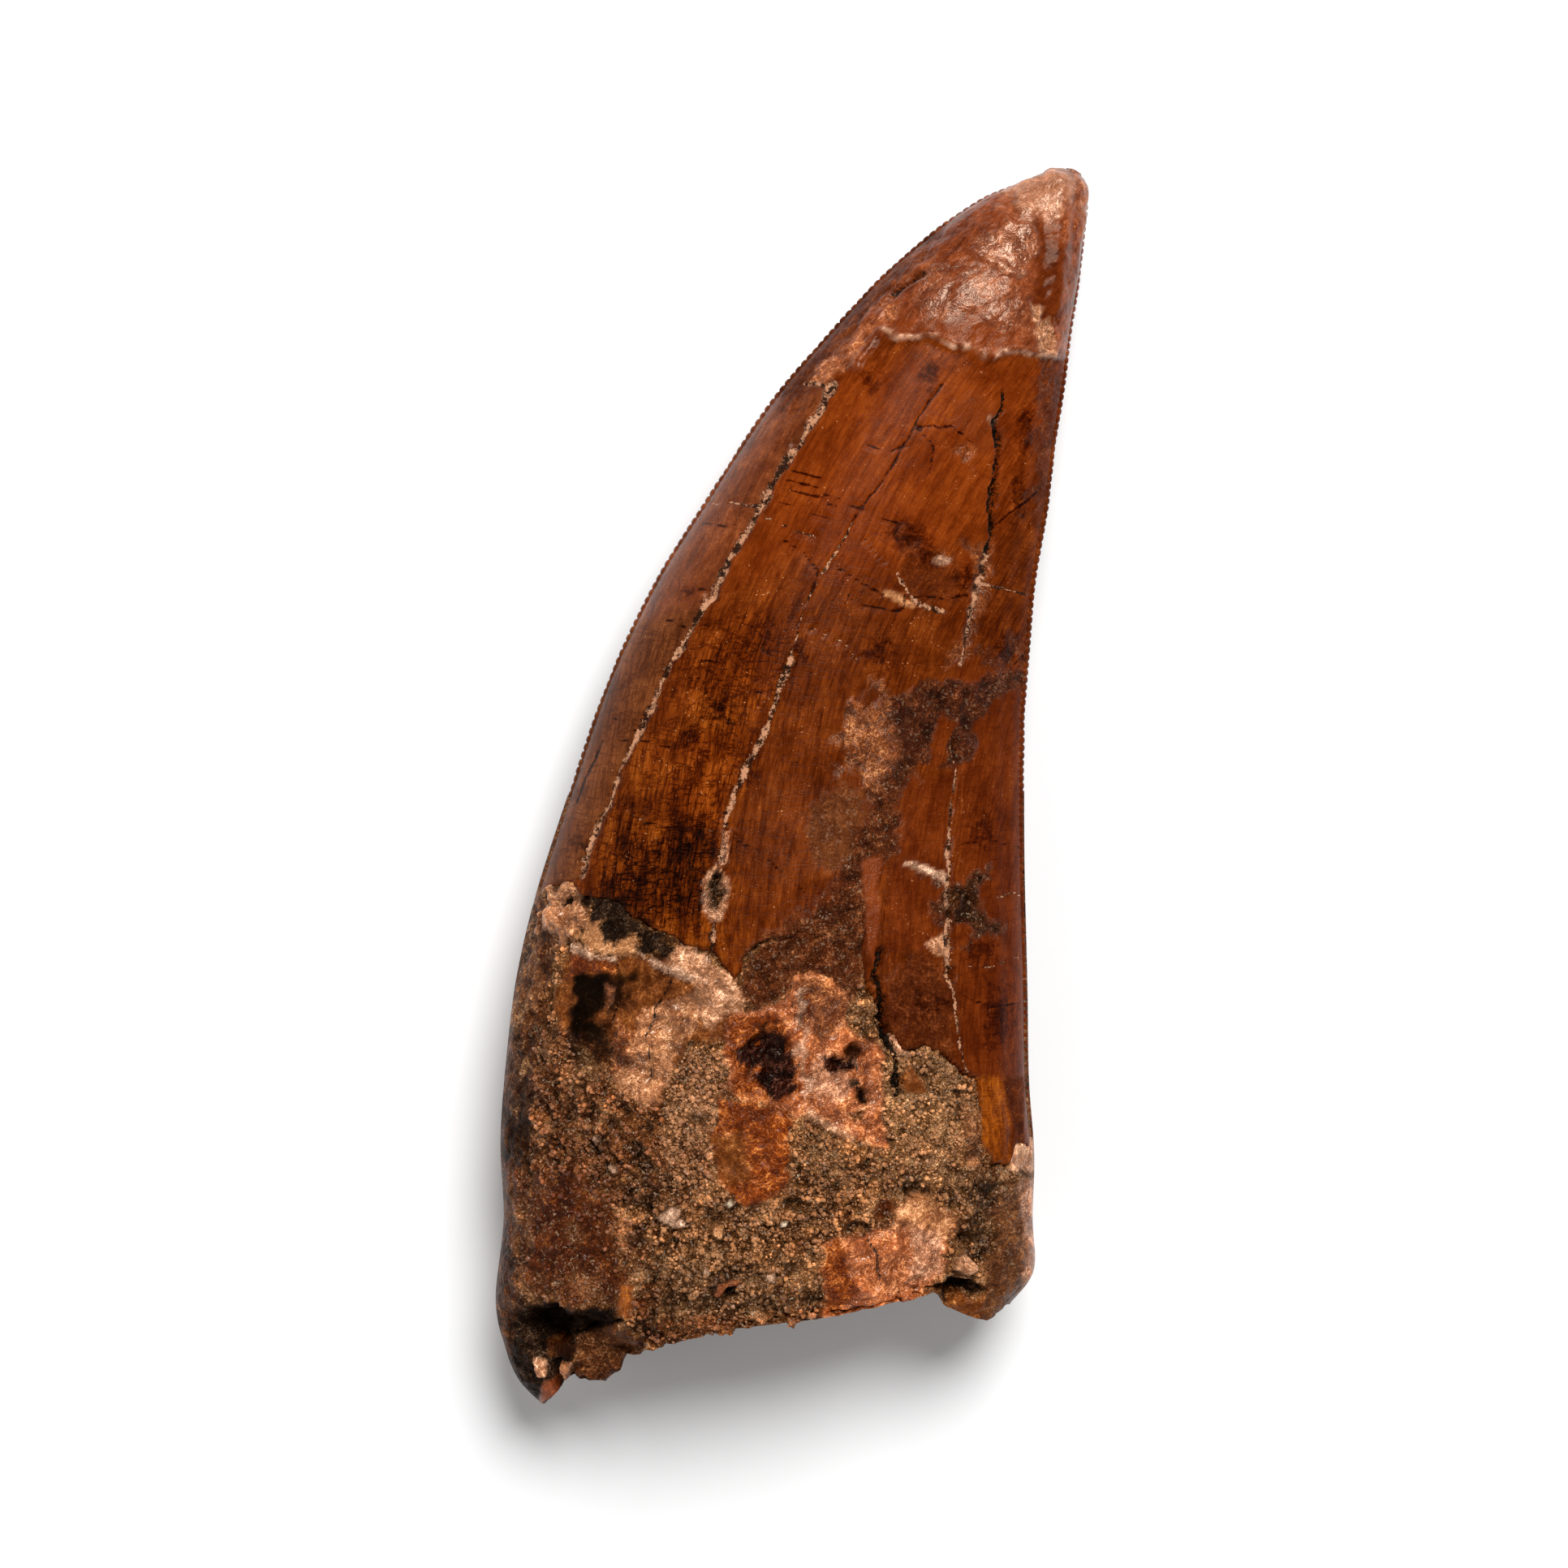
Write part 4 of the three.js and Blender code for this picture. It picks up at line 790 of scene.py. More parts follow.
@dataclass(frozen=True)
class RootFace:
    """What the seen face of the root carries: beds of matrix, clods on them, and the rest."""

    matrix: Stuff = MATRIX
    beds: tuple[Patch, ...] = (
        Patch(BROWN_MATRIX, "-21 -21, -12.5 -21.5, -9.5 -23, -8 -25, -7.6 -30, -12 -30.5, -19.5 -28.5, "
            "-21 -25", ragged=0.9, soft=0.7),
        Patch(FINE_MATRIX, "-8.6 -19.2, -6 -18.4, -4.6 -20, -4.9 -24, -5.4 -28, -8.5 -29, -9.4 -24",
            ragged=0.7, soft=0.5),
        Patch(BLACK_MATRIX, "-11.4 -34.4, -6 -34, -1 -35, 2.4 -36.5, 2.4 -38.6, -4.8 -41, -11 -41",
            ragged=1.8, soft=1.6, strength=0.8),
        Patch(PALE_MATRIX, "6.6 -18.6, 9 -19.4, 12.4 -21, 13.8 -23, 14 -28, 10 -29, 6.4 -26.5, 6.6 -22",
            ragged=0.7, soft=0.5),
        Patch(GREY_MATRIX, "12 -28, 20 -27.4, 20 -31, 14.8 -34.6, 12.2 -33.8, 11.8 -30.6", ragged=1.5,
            soft=1.2),
    )
    patches: tuple[Patch, ...] = (
        Patch(SMOOTH_EARTH, "14.6 -31, 16.4 -29, 20 -28.6, 20 -41, 12.6 -41, 13.8 -37.4, 14.2 -35, "
            "15 -33", ragged=0.5, soft=0.5),
        Patch(BONE_PINK, "17 -29, 20 -29, 20 -36.5, 17.2 -36.4, 17.3 -32", soft=0.5),
        Patch(BROWN_CRUST, "-3.7 -12.6, -1.5 -11.2, 1.2 -10.4, 3.4 -8.6, 5.3 -8.2, 5.3 -11.5, 5.1 -14, "
            "4.4 -16, 3.9 -14.9, 2.2 -13.6, 0.2 -13.7, -0.4 -15.1, -2.6 -15.9, -3.7 -15.4", rise=0.25),
        Patch(SMOOTH_DARK, "-24 -8, -18.9 -8, -17.4 -10.4, -17.5 -12.5, -18.1 -15, -18.7 -18, -19.2 -22, "
            "-19.6 -26, -20.3 -30, -20.5 -36, -20 -40, -20.8 -44, -26 -46, -26 -20"),
        Patch(SMOOTH_BLACK, "-22 -22.4, -19.4 -22.2, -19.5 -27.8, -22 -28", ragged=1.9, soft=0.6,
            strength=0.7),
        Patch(SMOOTH_EARTH, oval(-19.3, -14.6, 0.7, 2.2, -8), ragged=1.5, soft=0.4),
        Patch(PALE_MATRIX, oval(-20.3, -16.4, 0.35, 1.6, -10), ragged=1.2, soft=0.2, strength=0.8),
        Patch(PALE_MATRIX, oval(-20.1, -20.6, 0.5, 0.9), ragged=1.2, soft=0.2, strength=0.7),
        Patch(SMOOTH_BLACK, oval(-20.7, -18.6, 0.7, 1.4), ragged=1.6, soft=0.4, strength=0.8),
        Patch(SMOOTH_EARTH, oval(-20.6, -30.6, 0.8, 2), ragged=1.5, soft=0.4),
        Patch(SMOOTH_BLACK, oval(-21, -34.6, 0.8, 1.8), ragged=1.5, soft=0.4, strength=0.7),
        Patch(BROWN_MATRIX, "-21.6 -8.4, -19.2 -8.4, -19.1 -10.6, -19.9 -13.4, -20.6 -17, -22 -17"),
        Patch(DENTINE_BROWN, "-16.6 -12.2, -8.8 -12.4, -4 -14, -3.4 -16.2, -4.6 -18.4, -7.6 -18.6, "
            "-8.6 -20.4, -9.4 -22.9, -12.6 -22, -13.4 -20.6, -17.4 -18, -18 -16", rise=-0.12),
        Patch(BONE_YELLOW, "-15.4 -10.1, -14.2 -9.6, -13.2 -10.4, -12.4 -10.9, -11 -11.2, -10.6 -12, "
            "-12 -12.2, -13.5 -12, -15.6 -11.6", rise=0.32, ragged=0.7),
        Patch(DENTINE, "-9.9 -12.4, -8.6 -12.2, -8 -11.6, -6.6 -11.8, -5.9 -12.2, -5 -13, -4.2 -14.2, "
            "-3.7 -15.2, -3.4 -16.1, -4.6 -17.2, -6.6 -17.9, -7.2 -16, -7.4 -14.2, -8.6 -13.6", rise=0.15,
            ragged=1.3),
        Patch(STAIN, oval(-9.4, -14.2, 1.6, 1, -20), ragged=2.4, soft=0.8, strength=0.5),
        Patch(DENTINE_SCALE, "-11 -16.4, -9.6 -15.6, -7.8 -15.2, -7 -15.4, -7 -17.9, -8.2 -18.6, "
            "-8.6 -19.6, -8.8 -21.4, -9.6 -22.8, -10.6 -23, -12.6 -22, -13.2 -20.8, -12 -19.6, -11.4 -18",
            ragged=0.5),
        Patch(SCALE, "-12.8 -17, -11.8 -18, -12 -20, -13.6 -21.4, -13.2 -19"),
        Patch(STAIN, "-16.6 -12.4, -14.2 -12.6, -12.6 -13.2, -11.9 -14.2, -10.9 -14.8, -12.2 -16, "
            "-13.3 -17.2, -13.9 -18.6, -15.6 -18.4, -17.4 -18.6, -18 -17, -17.4 -15.4, -16.8 -14",
            ragged=2.8, soft=0.9),
        Patch(STAIN_BLACK, oval(-15.2, -15.4, 2.1, 2.3), ragged=1.9, soft=0.8, strength=0.93),
        Patch(STAIN_BLACK, oval(-16.2, -17.2, 1.6, 1.2), ragged=2.9, soft=0.8, strength=0.85),
        Patch(STAIN_BLACK, oval(-12.1, -14.3, 1.3, 0.9), ragged=2.4, soft=0.5, strength=0.8),
        Patch(STAIN_BLACK, oval(-14.8, -13.9, 1.5, 0.9, 20), ragged=1.4, soft=0.5, strength=0.85),
        Patch(BONE_ORANGE, "-16.2 -12.2, -13.2 -12.5, -12.9 -13.5, -15.2 -13.4, -16.8 -14", strength=0.8),
        Patch(SCALE, "-13.9 -14.3, -12.9 -14.6, -13.2 -15.6, -13.9 -16.6, -13.6 -15.4", ragged=0.2,
            soft=0.1, strength=0.8),
        Patch(BROWN_MATRIX, "-19 -17.6, -16.2 -18.2, -16 -21, -17.8 -22, -19.4 -21.6", ragged=0.6,
            soft=0.5),
        Patch(SMOOTH_BLACK, "-16.2 -18.2, -14 -17.4, -12.7 -17.8, -12.9 -20.2, -14 -21.4, -15.6 -21, "
            "-16.4 -19.6", ragged=1.2, soft=0.8, strength=0.7),
        Patch(DENTINE_SCALE, "-18.6 -8.6, -17.4 -6.9, -16.2 -6.3, -15.2 -7.4, -14.7 -9.4, -15.4 -10.4, "
            "-16.2 -11.2, -17.2 -11.2, -18.8 -10.6", rise=0.45, ragged=1.2),
        Patch(SMOOTH_BLACK, oval(-16.7, -8.8, 0.75, 0.5, 20), rise=-0.1, ragged=0.8),
        Patch(SMOOTH_BLACK, oval(-15.1, -8.4, 0.5, 0.7), rise=0.1, ragged=0.8),
        Patch(SMOOTH_BLACK, "-15.2 -7.7, -14 -7.6, -12.8 -8, -11.8 -9.6, -10.8 -9.8, -10.2 -10.7, "
            "-9.2 -10.8, -8.4 -12.1, -8.6 -12.9, -10 -12.3, -11.2 -11.2, -12.6 -10.8, -13.6 -10.2, "
            "-14.4 -9.2", rise=0.35, ragged=1.6, soft=0.12),
        Patch(CHIP, "-16.4 -11.5, -15.2 -11.7, -14 -12, -12.9 -12.3, -12.8 -12.8, -14.3 -12.5, "
            "-16.2 -12.1", rise=0.4, ragged=0.4, soft=0.12, strength=0.8),
        Patch(CHIP, "-10.9 -12.2, -9.8 -12.7, -8.4 -13.2, -7 -13.7, -6.4 -14.2, -7.6 -14.2, -9 -13.7, "
            "-10.2 -13.2", rise=0.35, ragged=0.4, soft=0.12, strength=0.8),
        Patch(BONE, "-4.6 -17, -3.6 -16.2, -2 -16, -0.2 -15, 0.1 -13.8, 1.4 -13.2, 2.8 -13.8, 4 -15, "
            "4.2 -17.4, 5.8 -18.4, 6.6 -19.2, 6.7 -22, 6.4 -24, 6.6 -26, 4.6 -25.7, 2.6 -24.6, 1.1 -23.7, "
            "0.2 -24.1, -2 -22.8, -4.4 -22.4, -4.9 -20", rise=0.1),
        Patch(SCALE, "0.2 -14, 1.4 -13.5, 3.8 -15, 4 -17.2, 2.4 -18.4, 0.6 -17.6", rise=0.1, soft=0.3),
        Patch(BONE_ORANGE, "-4.2 -16.6, -2 -16.6, -0.4 -17.4, 0.2 -19, 0.4 -22, -1 -23, -4 -22.4, "
            "-4.6 -19", ragged=0.5, soft=0.3),
        Patch(MAROON, "-3.2 -18.3, -1.8 -17.7, -0.6 -18.6, 0.3 -20.2, -0.1 -21, -0.4 -22.3, -1.7 -22.4, "
            "-2.2 -21, -3.4 -20.6, -3.7 -19.3", ragged=0.9, soft=0.15),
        Patch(BONE_PINK, "1.4 -20.2, 2.4 -19.2, 3.6 -19.8, 4.4 -21.4, 3.8 -22.8, 1.8 -22.4", soft=0.3,
            strength=0.9),
        Patch(STAIN, oval(4.5, -19.2, 0.75, 0.7)),
        Patch(MAROON, oval(3.4, -20.2, 1.3, 0.7, -14), ragged=0.9, soft=0.12),
        Patch(PAINTED_HOLE_SHADE, oval(5.2, -22.4, 0.45, 0.6), soft=0.12),
        Patch(SMOOTH_BLACK, oval(4.6, -21.7, 0.5, 0.35)),
        Patch(SMOOTH_DARK, oval(4.6, -23.7, 0.6, 0.45)),
        Patch(BONE_ORANGE, oval(1.15, -15.7, 0.3, 0.9, 8)),
        Patch(BONE, "5.4 -20, 6.6 -20, 6.7 -26, 5.2 -25.8, 5.6 -23", strength=0.9),
        Patch(CHIP, "0.5 -14.2, 0.9 -14.2, 1.2 -17.8, 1.2 -20.6, 1.7 -22.6, 1.5 -23.6, 0.8 -22.4, "
            "0.5 -20", rise=0.2, ragged=1.2, soft=0.15, strength=0.6),
        Patch(DENTINE, "1.2 -23.2, 2.8 -24.4, 4.6 -25.4, 4.3 -25.8, 2.4 -24.9, 1 -23.8", rise=0.25,
            ragged=0.1, soft=0.08),
        Patch(BONE_ORANGE, "-5.2 -22.8, -3.4 -22.6, -1 -23.2, 0.2 -24.2, -0.2 -26.5, -0.6 -29.2, "
            "-2.6 -30.2, -4.6 -29.8, -5.4 -28.4, -5.6 -25.6", ragged=0.5),
        Patch(DENTINE_BROWN, "-5.5 -25, -3.6 -25, -3.1 -28.6, -4.8 -29, -5.6 -27.4", soft=0.3),
        Patch(DENTINE_BROWN, "8.2 -20.4, 8.8 -20.2, 9.9 -22.3, 8.3 -22.3, 7.8 -21.4", rise=0.15,
            ragged=0.15, soft=0.1),
        Patch(BONE_PINK, "6.5 -12.6, 7.2 -13.6, 7.2 -16, 7.9 -18, 8.6 -19.6, 7.6 -19.4, 6.9 -17.8, "
            "6.6 -16", rise=0.35, ragged=0.2, soft=0.12),
        Patch(PALE_MATRIX, "9 -19, 10.2 -19.3, 11.4 -20, 12.4 -21, 13.2 -22.2, 12.2 -22, 10.8 -20.8, "
            "9.4 -20", rise=0.35),
        Patch(SCALE, "12 -23.4, 14.1 -23.4, 14.3 -27.6, 12.6 -27.4", ragged=0.7, soft=0.4, strength=0.7),
        Patch(DENTINE, "16 -26, 17.4 -25.8, 18.6 -26, 18.6 -28.4, 16 -28.2"),
        Patch(BLACK_MATRIX, "8 -28.2, 9.4 -28.2, 10.4 -29.8, 9 -30.2, 8.2 -29.4", soft=0.3),
        Patch(SMOOTH_BLACK, oval(0.3, -30.2, 0.8, 0.3, -10)),
        Patch(RED_EARTH, oval(6.6, -30.6, 1, 0.8), soft=0.3),
        Patch(SMOOTH_BLACK, oval(14.6, -29.3, 0.9, 0.5), ragged=0.5, soft=0.3),
        Patch(BONE, "2.3 -33.2, 3.2 -32.8, 5 -32.3, 7.4 -31.6, 7.7 -30.1, 8.8 -29.8, 9.8 -30.4, 11.2 -31, "
            "12.2 -32, 11.2 -33, 10.9 -35, 10.3 -36.6, 9 -38.4, 6 -39, 2.3 -40", ragged=0.6, soft=0.4),
        Patch(BONE_YELLOW, "7.4 -31.8, 7.7 -30, 8.8 -29.7, 11.2 -31, 12.2 -32, 11.2 -32.8, 8.6 -32",
            ragged=0.9, soft=0.5, strength=0.7),
        Patch(BONE_ORANGE, "2.3 -33.2, 3.4 -32.8, 4.3 -35, 4.6 -36.4, 3.4 -38.6, 2.3 -38.6"),
        Patch(BONE_PINK, "8.4 -32, 10.6 -32.6, 10.9 -35.6, 8.6 -36, 8.8 -34", ragged=0.5, soft=0.4),
        Patch(CHIP_ORANGE, "6.4 -35.4, 7.8 -35.4, 8 -36.8, 7.2 -37.2"),
        Patch(SMOOTH_BLACK, "10.3 -36.6, 11.4 -35.8, 13.4 -36, 14 -37, 12.8 -37.8, 11 -38.2"),
        Patch(DENTINE_BROWN, "10.6 -38.1, 12.8 -37.6, 14.2 -37.4, 14 -41, 10.6 -41"),
        Patch(DENTINE, "11.6 -35.2, 12 -34.2, 12.7 -34, 13.6 -35.2, 12.9 -35.9", rise=0.55, ragged=0.15,
            soft=0.12),
        Patch(DENTINE, oval(12.7, -36.2, 0.4, 0.3), rise=0.4, ragged=0.05, soft=0.12),
        Patch(RED_EARTH, "-20.3 -28.8, -17.6 -27.8, -15.4 -28.4, -13.6 -30, -12.4 -31.4, -11.4 -33.6, "
            "-12 -36, -12.6 -38, -16 -38, -20.3 -37.6, -20.5 -33", ragged=1.5, soft=1.4),
        Patch(AMBER, "-12.6 -36, -11.6 -36, -11.8 -38.6, -12.8 -38.6", strength=0.8),
        Patch(BROWN_MATRIX, "-11 -38.8, -6 -38.4, -2 -38.2, 2 -37.8, 2.3 -41, -5 -42, -11.5 -44",
            soft=0.3),
        Patch(SMOOTH_BLACK, "-20.4 -37.9, -12.8 -37.9, -12.4 -39.2, -16 -41.4, -16.4 -46, -21 -46, "
            "-21 -40", soft=0.3),
        Patch(PAINTED_HOLE_SHADE, "-19.9 -38.1, -17.8 -37.8, -15.9 -38.3, -13.2 -38.2, -12.8 -38.9, -15.6 -39.9, "
            "-16.6 -40.6, -18.6 -40.7, -20.1 -39.6", ragged=0.2),
        Patch(STAIN, "-18.6 -40.9, -16.4 -40.4, -16 -41.9, -18 -42"),
        Patch(SMOOTH_DARK, "-16 -40.2, -12.6 -39.1, -10.6 -40.4, -11.3 -42, -12.4 -43.2, -13.8 -46, "
            "-16.4 -45, -16.2 -42.4", ragged=0.4, soft=0.3),
        Patch(DENTINE, "-19.2 -42, -18.3 -42.3, -18.1 -43.5, -18.8 -43.6", rise=0.3, ragged=0.12,
            soft=0.08),
        Patch(DENTINE_SCALE, "-17.1 -42.4, -16.1 -42.2, -16.6 -43.9, -17.2 -43.6", rise=0.3, ragged=0.12,
            soft=0.08),
        Patch(TIP_BROWN, "-18.3 -43.9, -17.1 -44.1, -17.6 -46.4, -19.2 -46.4", ragged=0.2),
        Patch(CHIP, "-10 -31.2, -8.7 -30.3, -8 -30.6, -8.2 -31.2, -7.2 -31.8, -8.6 -31.9", rise=0.4,
            ragged=0.12, soft=0.08),
        Patch(BONE_YELLOW, "-5.6 -31.6, -5 -31.8, -5.1 -32.8, -5.7 -32.5", rise=0.35, ragged=0.08,
            soft=0.08),
        Patch(CHIP_ORANGE, "-5.7 -37, -5.4 -36.1, -4.4 -35.6, -3.6 -35.8, -4.6 -36.2, -5.1 -37", rise=0.4,
            ragged=0.08, soft=0.08),
        Patch(CHIP, "-2.1 -35.4, -1.3 -35.2, -1.2 -35.9, -1.7 -35.9", rise=0.35, ragged=0.08, soft=0.08),
        Patch(CHIP, "-6.6 -34.6, -6.1 -34.9, -5.9 -35.5, -6.3 -35.4", rise=0.3, ragged=0.08, soft=0.08),
        Patch(CHIP_WHITE, oval(-4.55, -30.2, 0.26, 0.24), rise=0.3, ragged=0.05, soft=0.08),
        Patch(CHIP, oval(-13.2, -27.7, 0.45, 0.3, -30), rise=0.3, ragged=0.1, soft=0.08),
        Patch(CHIP, oval(-14.4, -25.6, 0.35, 0.25), rise=0.25, ragged=0.1, soft=0.08),
        Patch(SCALE, oval(-10.3, -28.6, 0.7, 0.25, -30), rise=0.25, ragged=0.1, soft=0.1),
        Patch(CHIP_WHITE, oval(-0.6, -31.7, 0.3, 0.22), rise=0.3, ragged=0.08, soft=0.08),
    )
    cracks: tuple[Crack, ...] = (
        Crack("6 -11.6, 6.1 -13, 6.3 -15, 6.5 -16.6, 7 -18.4, 7.6 -20, 7.8 -22.4", OPEN, 0.3, 0.8),
        Crack("4.7 -19.8, 4.9 -21.4, 4.6 -23, 5.4 -24.6", OPEN, 0.09, 0.3),
        Crack("-0.2 -14.4, 0.2 -16.6, 0.5 -19, 0.4 -21.6", OPEN, 0.08, 0.3),
        Crack("-8.8 -12.6, -8.9 -14.4, -9.8 -15.8, -10.6 -18.2, -10.4 -21", OPEN, 0.08, 0.25),
        Crack("-12.9 -12.8, -12.1 -14.6, -12.9 -16.2, -13.6 -17.8", OPEN, 0.05, 0.15),
        Crack("-16.2 -40.2, -14.4 -39.6, -12.6 -38.9", OPEN, 0.2, 0.5),
        Crack("5 -32.4, 6.2 -34, 6.4 -36.2", OPEN, 0.08, 0.25),
    )
    holes: tuple[Spot, ...] = spots(
        "-1.6 -19.8 1.7 1.9 0.7, -2.8 -18.8 0.8 0.7 0.4, 4.4 -19.3 0.9 0.7 0.7, 3.2 -20.3 0.8 0.4 0.6, "
        "5.2 -22.6 0.6 0.6 0.6, 9.4 -29.2 1.1 0.9 1, 12.9 -33.4 1.3 0.6 0.9, 12 -36.9 1.7 0.9 1.8, "
        "-18 -39.3 1.8 1.3 1.7, -14.7 -39 1.6 0.7 0.8, -15.2 -15.4 1.9 2.1 0.35, 0.3 -30.2 0.9 0.4 0.5, "
        "-4.6 -36.8 0.6 0.6 0.7, -14.6 -19.6 1.2 1.2 0.4, 6.6 -30.7 0.9 0.7 0.4, -17.4 -43.4 0.5 1.3 0.8"
    )
    broken_corner: Path = plotted(
        "-24 -37.6, -19.9 -37.9, -16.7 -38, -14.3 -38.8, -10.6 -40.6, -10.6 -49, -24 -49"
    )
    corner_drop: float = 0.34
    corner_slope: float = 1.3
    clod_count: int = 90
    clod_seed: int = 29
    clod_kinds: tuple[tuple[Stuff, float, float], ...] = (
        # The sunk clods of near black are painted shade in hollows.
        (BLACK_MATRIX, -0.3, 1.0), (PAINTED_HOLE_SHADE, -0.4, 0.45), (PALE_MATRIX, 0.12, 1.0), (RED_EARTH, 0.0, 1.0),
        (DENTINE_SCALE, 0.15, 0.45), (BROWN_MATRIX, 0.1, 1.0), (BLACK_MATRIX, -0.2, 1.0),
    )

    def clods(self) -> tuple[Patch, ...]:
        """Draw clods, hollows and pebbles on the matrix, each a small turned oval.

        A kind is its stuff, its rise and its size as a share of the drawn one.
        """
        rng = np.random.default_rng(self.clod_seed)
        clods = []
        for number in range(self.clod_count):
            stuff, rise, small = self.clod_kinds[number % len(self.clod_kinds)]
            x, y, turn = rng.uniform(-19.0, 17.0), rng.uniform(-39.0, -18.0), rng.uniform(0.0, 180.0)
            wide, thin, strength = rng.uniform(0.4, 1.1), rng.uniform(0.5, 0.9), rng.uniform(0.55, 0.9)
            size = wide * small
            clods.append(Patch(stuff, oval(x, y, size, size * thin, turn), rise, 0.9 * size, 0.18, strength))
        return tuple(clods)


@dataclass(frozen=True)
class UnderFace:
    """What the hidden face carries, like the seen one but plainer."""

    crown_patches: tuple[Patch, ...] = (
        Patch(ENAMEL_LIGHT, "-8 20, 6 42, 20 42, 16 26, 6 18", ragged=2.5, soft=3.0),
        Patch(BROWN_CRUST, "-9.5 2, -7 4.5, -3 3, -4 -2, -8 -3", rise=0.1, ragged=0.9, soft=0.3),
        Patch(BROWN_CRUST, "4 20, 6 24, 8 22, 7 18", rise=0.1, ragged=0.9, soft=0.3),
    )
    root_patches: tuple[Patch, ...] = (
        Patch(BONE, "-18 -10, -6 -12, -5 -19, -10 -24, -17 -20", ragged=1.2, soft=0.4),
        Patch(STAIN, "-14 -14, -9 -14, -10 -20, -14 -19", ragged=1.2, soft=0.6),
        Patch(SCALE, "6 -17, 14 -17, 14 -25, 8 -27", ragged=1.2, soft=0.4),
        Patch(BONE_ORANGE, "0 -30, 7 -29, 8 -36, 1 -36", ragged=1.2, soft=0.4),
        Patch(RED_EARTH, "-20 -28, -14 -28, -13 -36, -20 -36", ragged=1.2, soft=0.6),
    )
    cracks: tuple[Crack, ...] = (
        Crack("7.5 31, 5.4 26.4, 3.5 22, 1.2 17.2, -1.5 12, -4.2 7, -6.5 2, -8 -3, -9 -8", FILLED, 0.2,
            0.16),
        Crack("14.5 24, 12.7 19, 11.5 14, 10.3 9, 9.5 4, 8.6 -1, 8 -6, 8.5 -14", FILLED, 0.15, 0.14),
        Crack("-12.5 4, -9 2.4, -5 1.5, 1.5 2.5", OPEN, 0.1, 0.12),
        Crack("2 24, 6 22.4, 11 22.8"),
        Crack("-6 13, -2 11.6, 3 12.6, 9 11"),
    )
    holes: tuple[Spot, ...] = spots("-8 -24 1.5 1.8 0.8, 6.5 -30 1.3 1.3 0.7")


def wander(place: Array, spacing: float, reach: float, seed: int) -> tuple[Array, Array]:
    """Move points in plan by lumps, so that straight borders turn ragged.

    Args:
        place: points in millimetres.
        spacing: distance between the turns of the border.
        reach: how far the points move.
        seed: number of the pattern.

    Returns:
        The moved X and the moved Y.
    """
    x = place[..., 0] + reach * crumple(place, spacing, 3, seed)
    return x, place[..., 1] + reach * crumple(place, spacing, 3, seed + OTHER_SEED)


def no_cracks(shape: tuple[int, ...]) -> dict[str, Array]:
    """Return the crack masks of a piece that has none."""
    return {kind.value: np.full(shape, FAR) for kind in CrackKind}


def crack_relief(place: Array, cracks: tuple[Crack, ...], seed: int) -> tuple[Array, dict[str, Array]]:
    """Cut the cracks: each is a groove whose walls follow exp(-(d / width)^4).

    The width swells and narrows along the crack, from a fifth to twice its
    value, and the groove's depth goes with the swell's square root.

    Args:
        place: points in millimetres.
        cracks: the cracks to cut.
        seed: number of the pattern of their wander.

    Returns:
        The depth as a negative height, and for each kind of crack the distance
        from its middle in half widths.
    """
    x, y = wander(place, 0.9, 0.17, seed)
    swell = 1.0 + crumple(place, 0.9, 3, seed + 7) + 0.9 * crumple(place, 3.4, 2, seed + 9)
    swell = np.clip(swell, *SWELL_LIMITS)
    height = np.zeros(x.shape)
    masks = no_cracks(x.shape)
    for crack in cracks:
        width = crack.width * (1.0 if crack.kind is HAIRLINE else swell)
        shown = distance_to_path(x, y, plotted(crack.path)) / width
        masks[crack.kind.value] = np.minimum(masks[crack.kind.value], shown)
        height = np.minimum(height, -crack.depth * np.sqrt(swell) * np.exp(-(shown**4)))
    return height, masks


def spot_share(x: Array, y: Array, marks: tuple[Spot, ...]) -> Array:
    """Return how strongly spots cover a point, the sum of their bells up to 1."""
    return np.clip(sum(spot.share(x, y) for spot in marks), 0.0, 1.0)


def spot_height(x: Array, y: Array, marks: tuple[Spot, ...]) -> Array:
    """Return the summed depth of some spots, each a flat-bottomed bell."""
    return sum(spot.depth * smooth_step(HOLE_RIM, HOLE_FLOOR, spot.share(x, y)) for spot in marks)


def surface_normals(points: Array) -> Array:
    """Return unit normals of a grid of points: the cross product of its two slopes."""
    across = np.gradient(points, axis=1)
    along = np.gradient(points, axis=0)
    normal = np.cross(across, along)
    return normal / np.maximum(np.linalg.norm(normal, axis=-1, keepdims=True), 1e-9)


def column_places(count: int) -> Array:
    """Place columns from edge to edge, closer together near both edges.

    The places are the mean of even steps and of a half cosine.
    """
    even = np.linspace(0.0, 1.0, count + 1)
    return (even + (1.0 - np.cos(np.pi * even)) / 2.0) / 2.0


class FaceSide(Enum):
    """Which face of the tooth a grid lies on."""

    SEEN = 1
    HIDDEN = -1


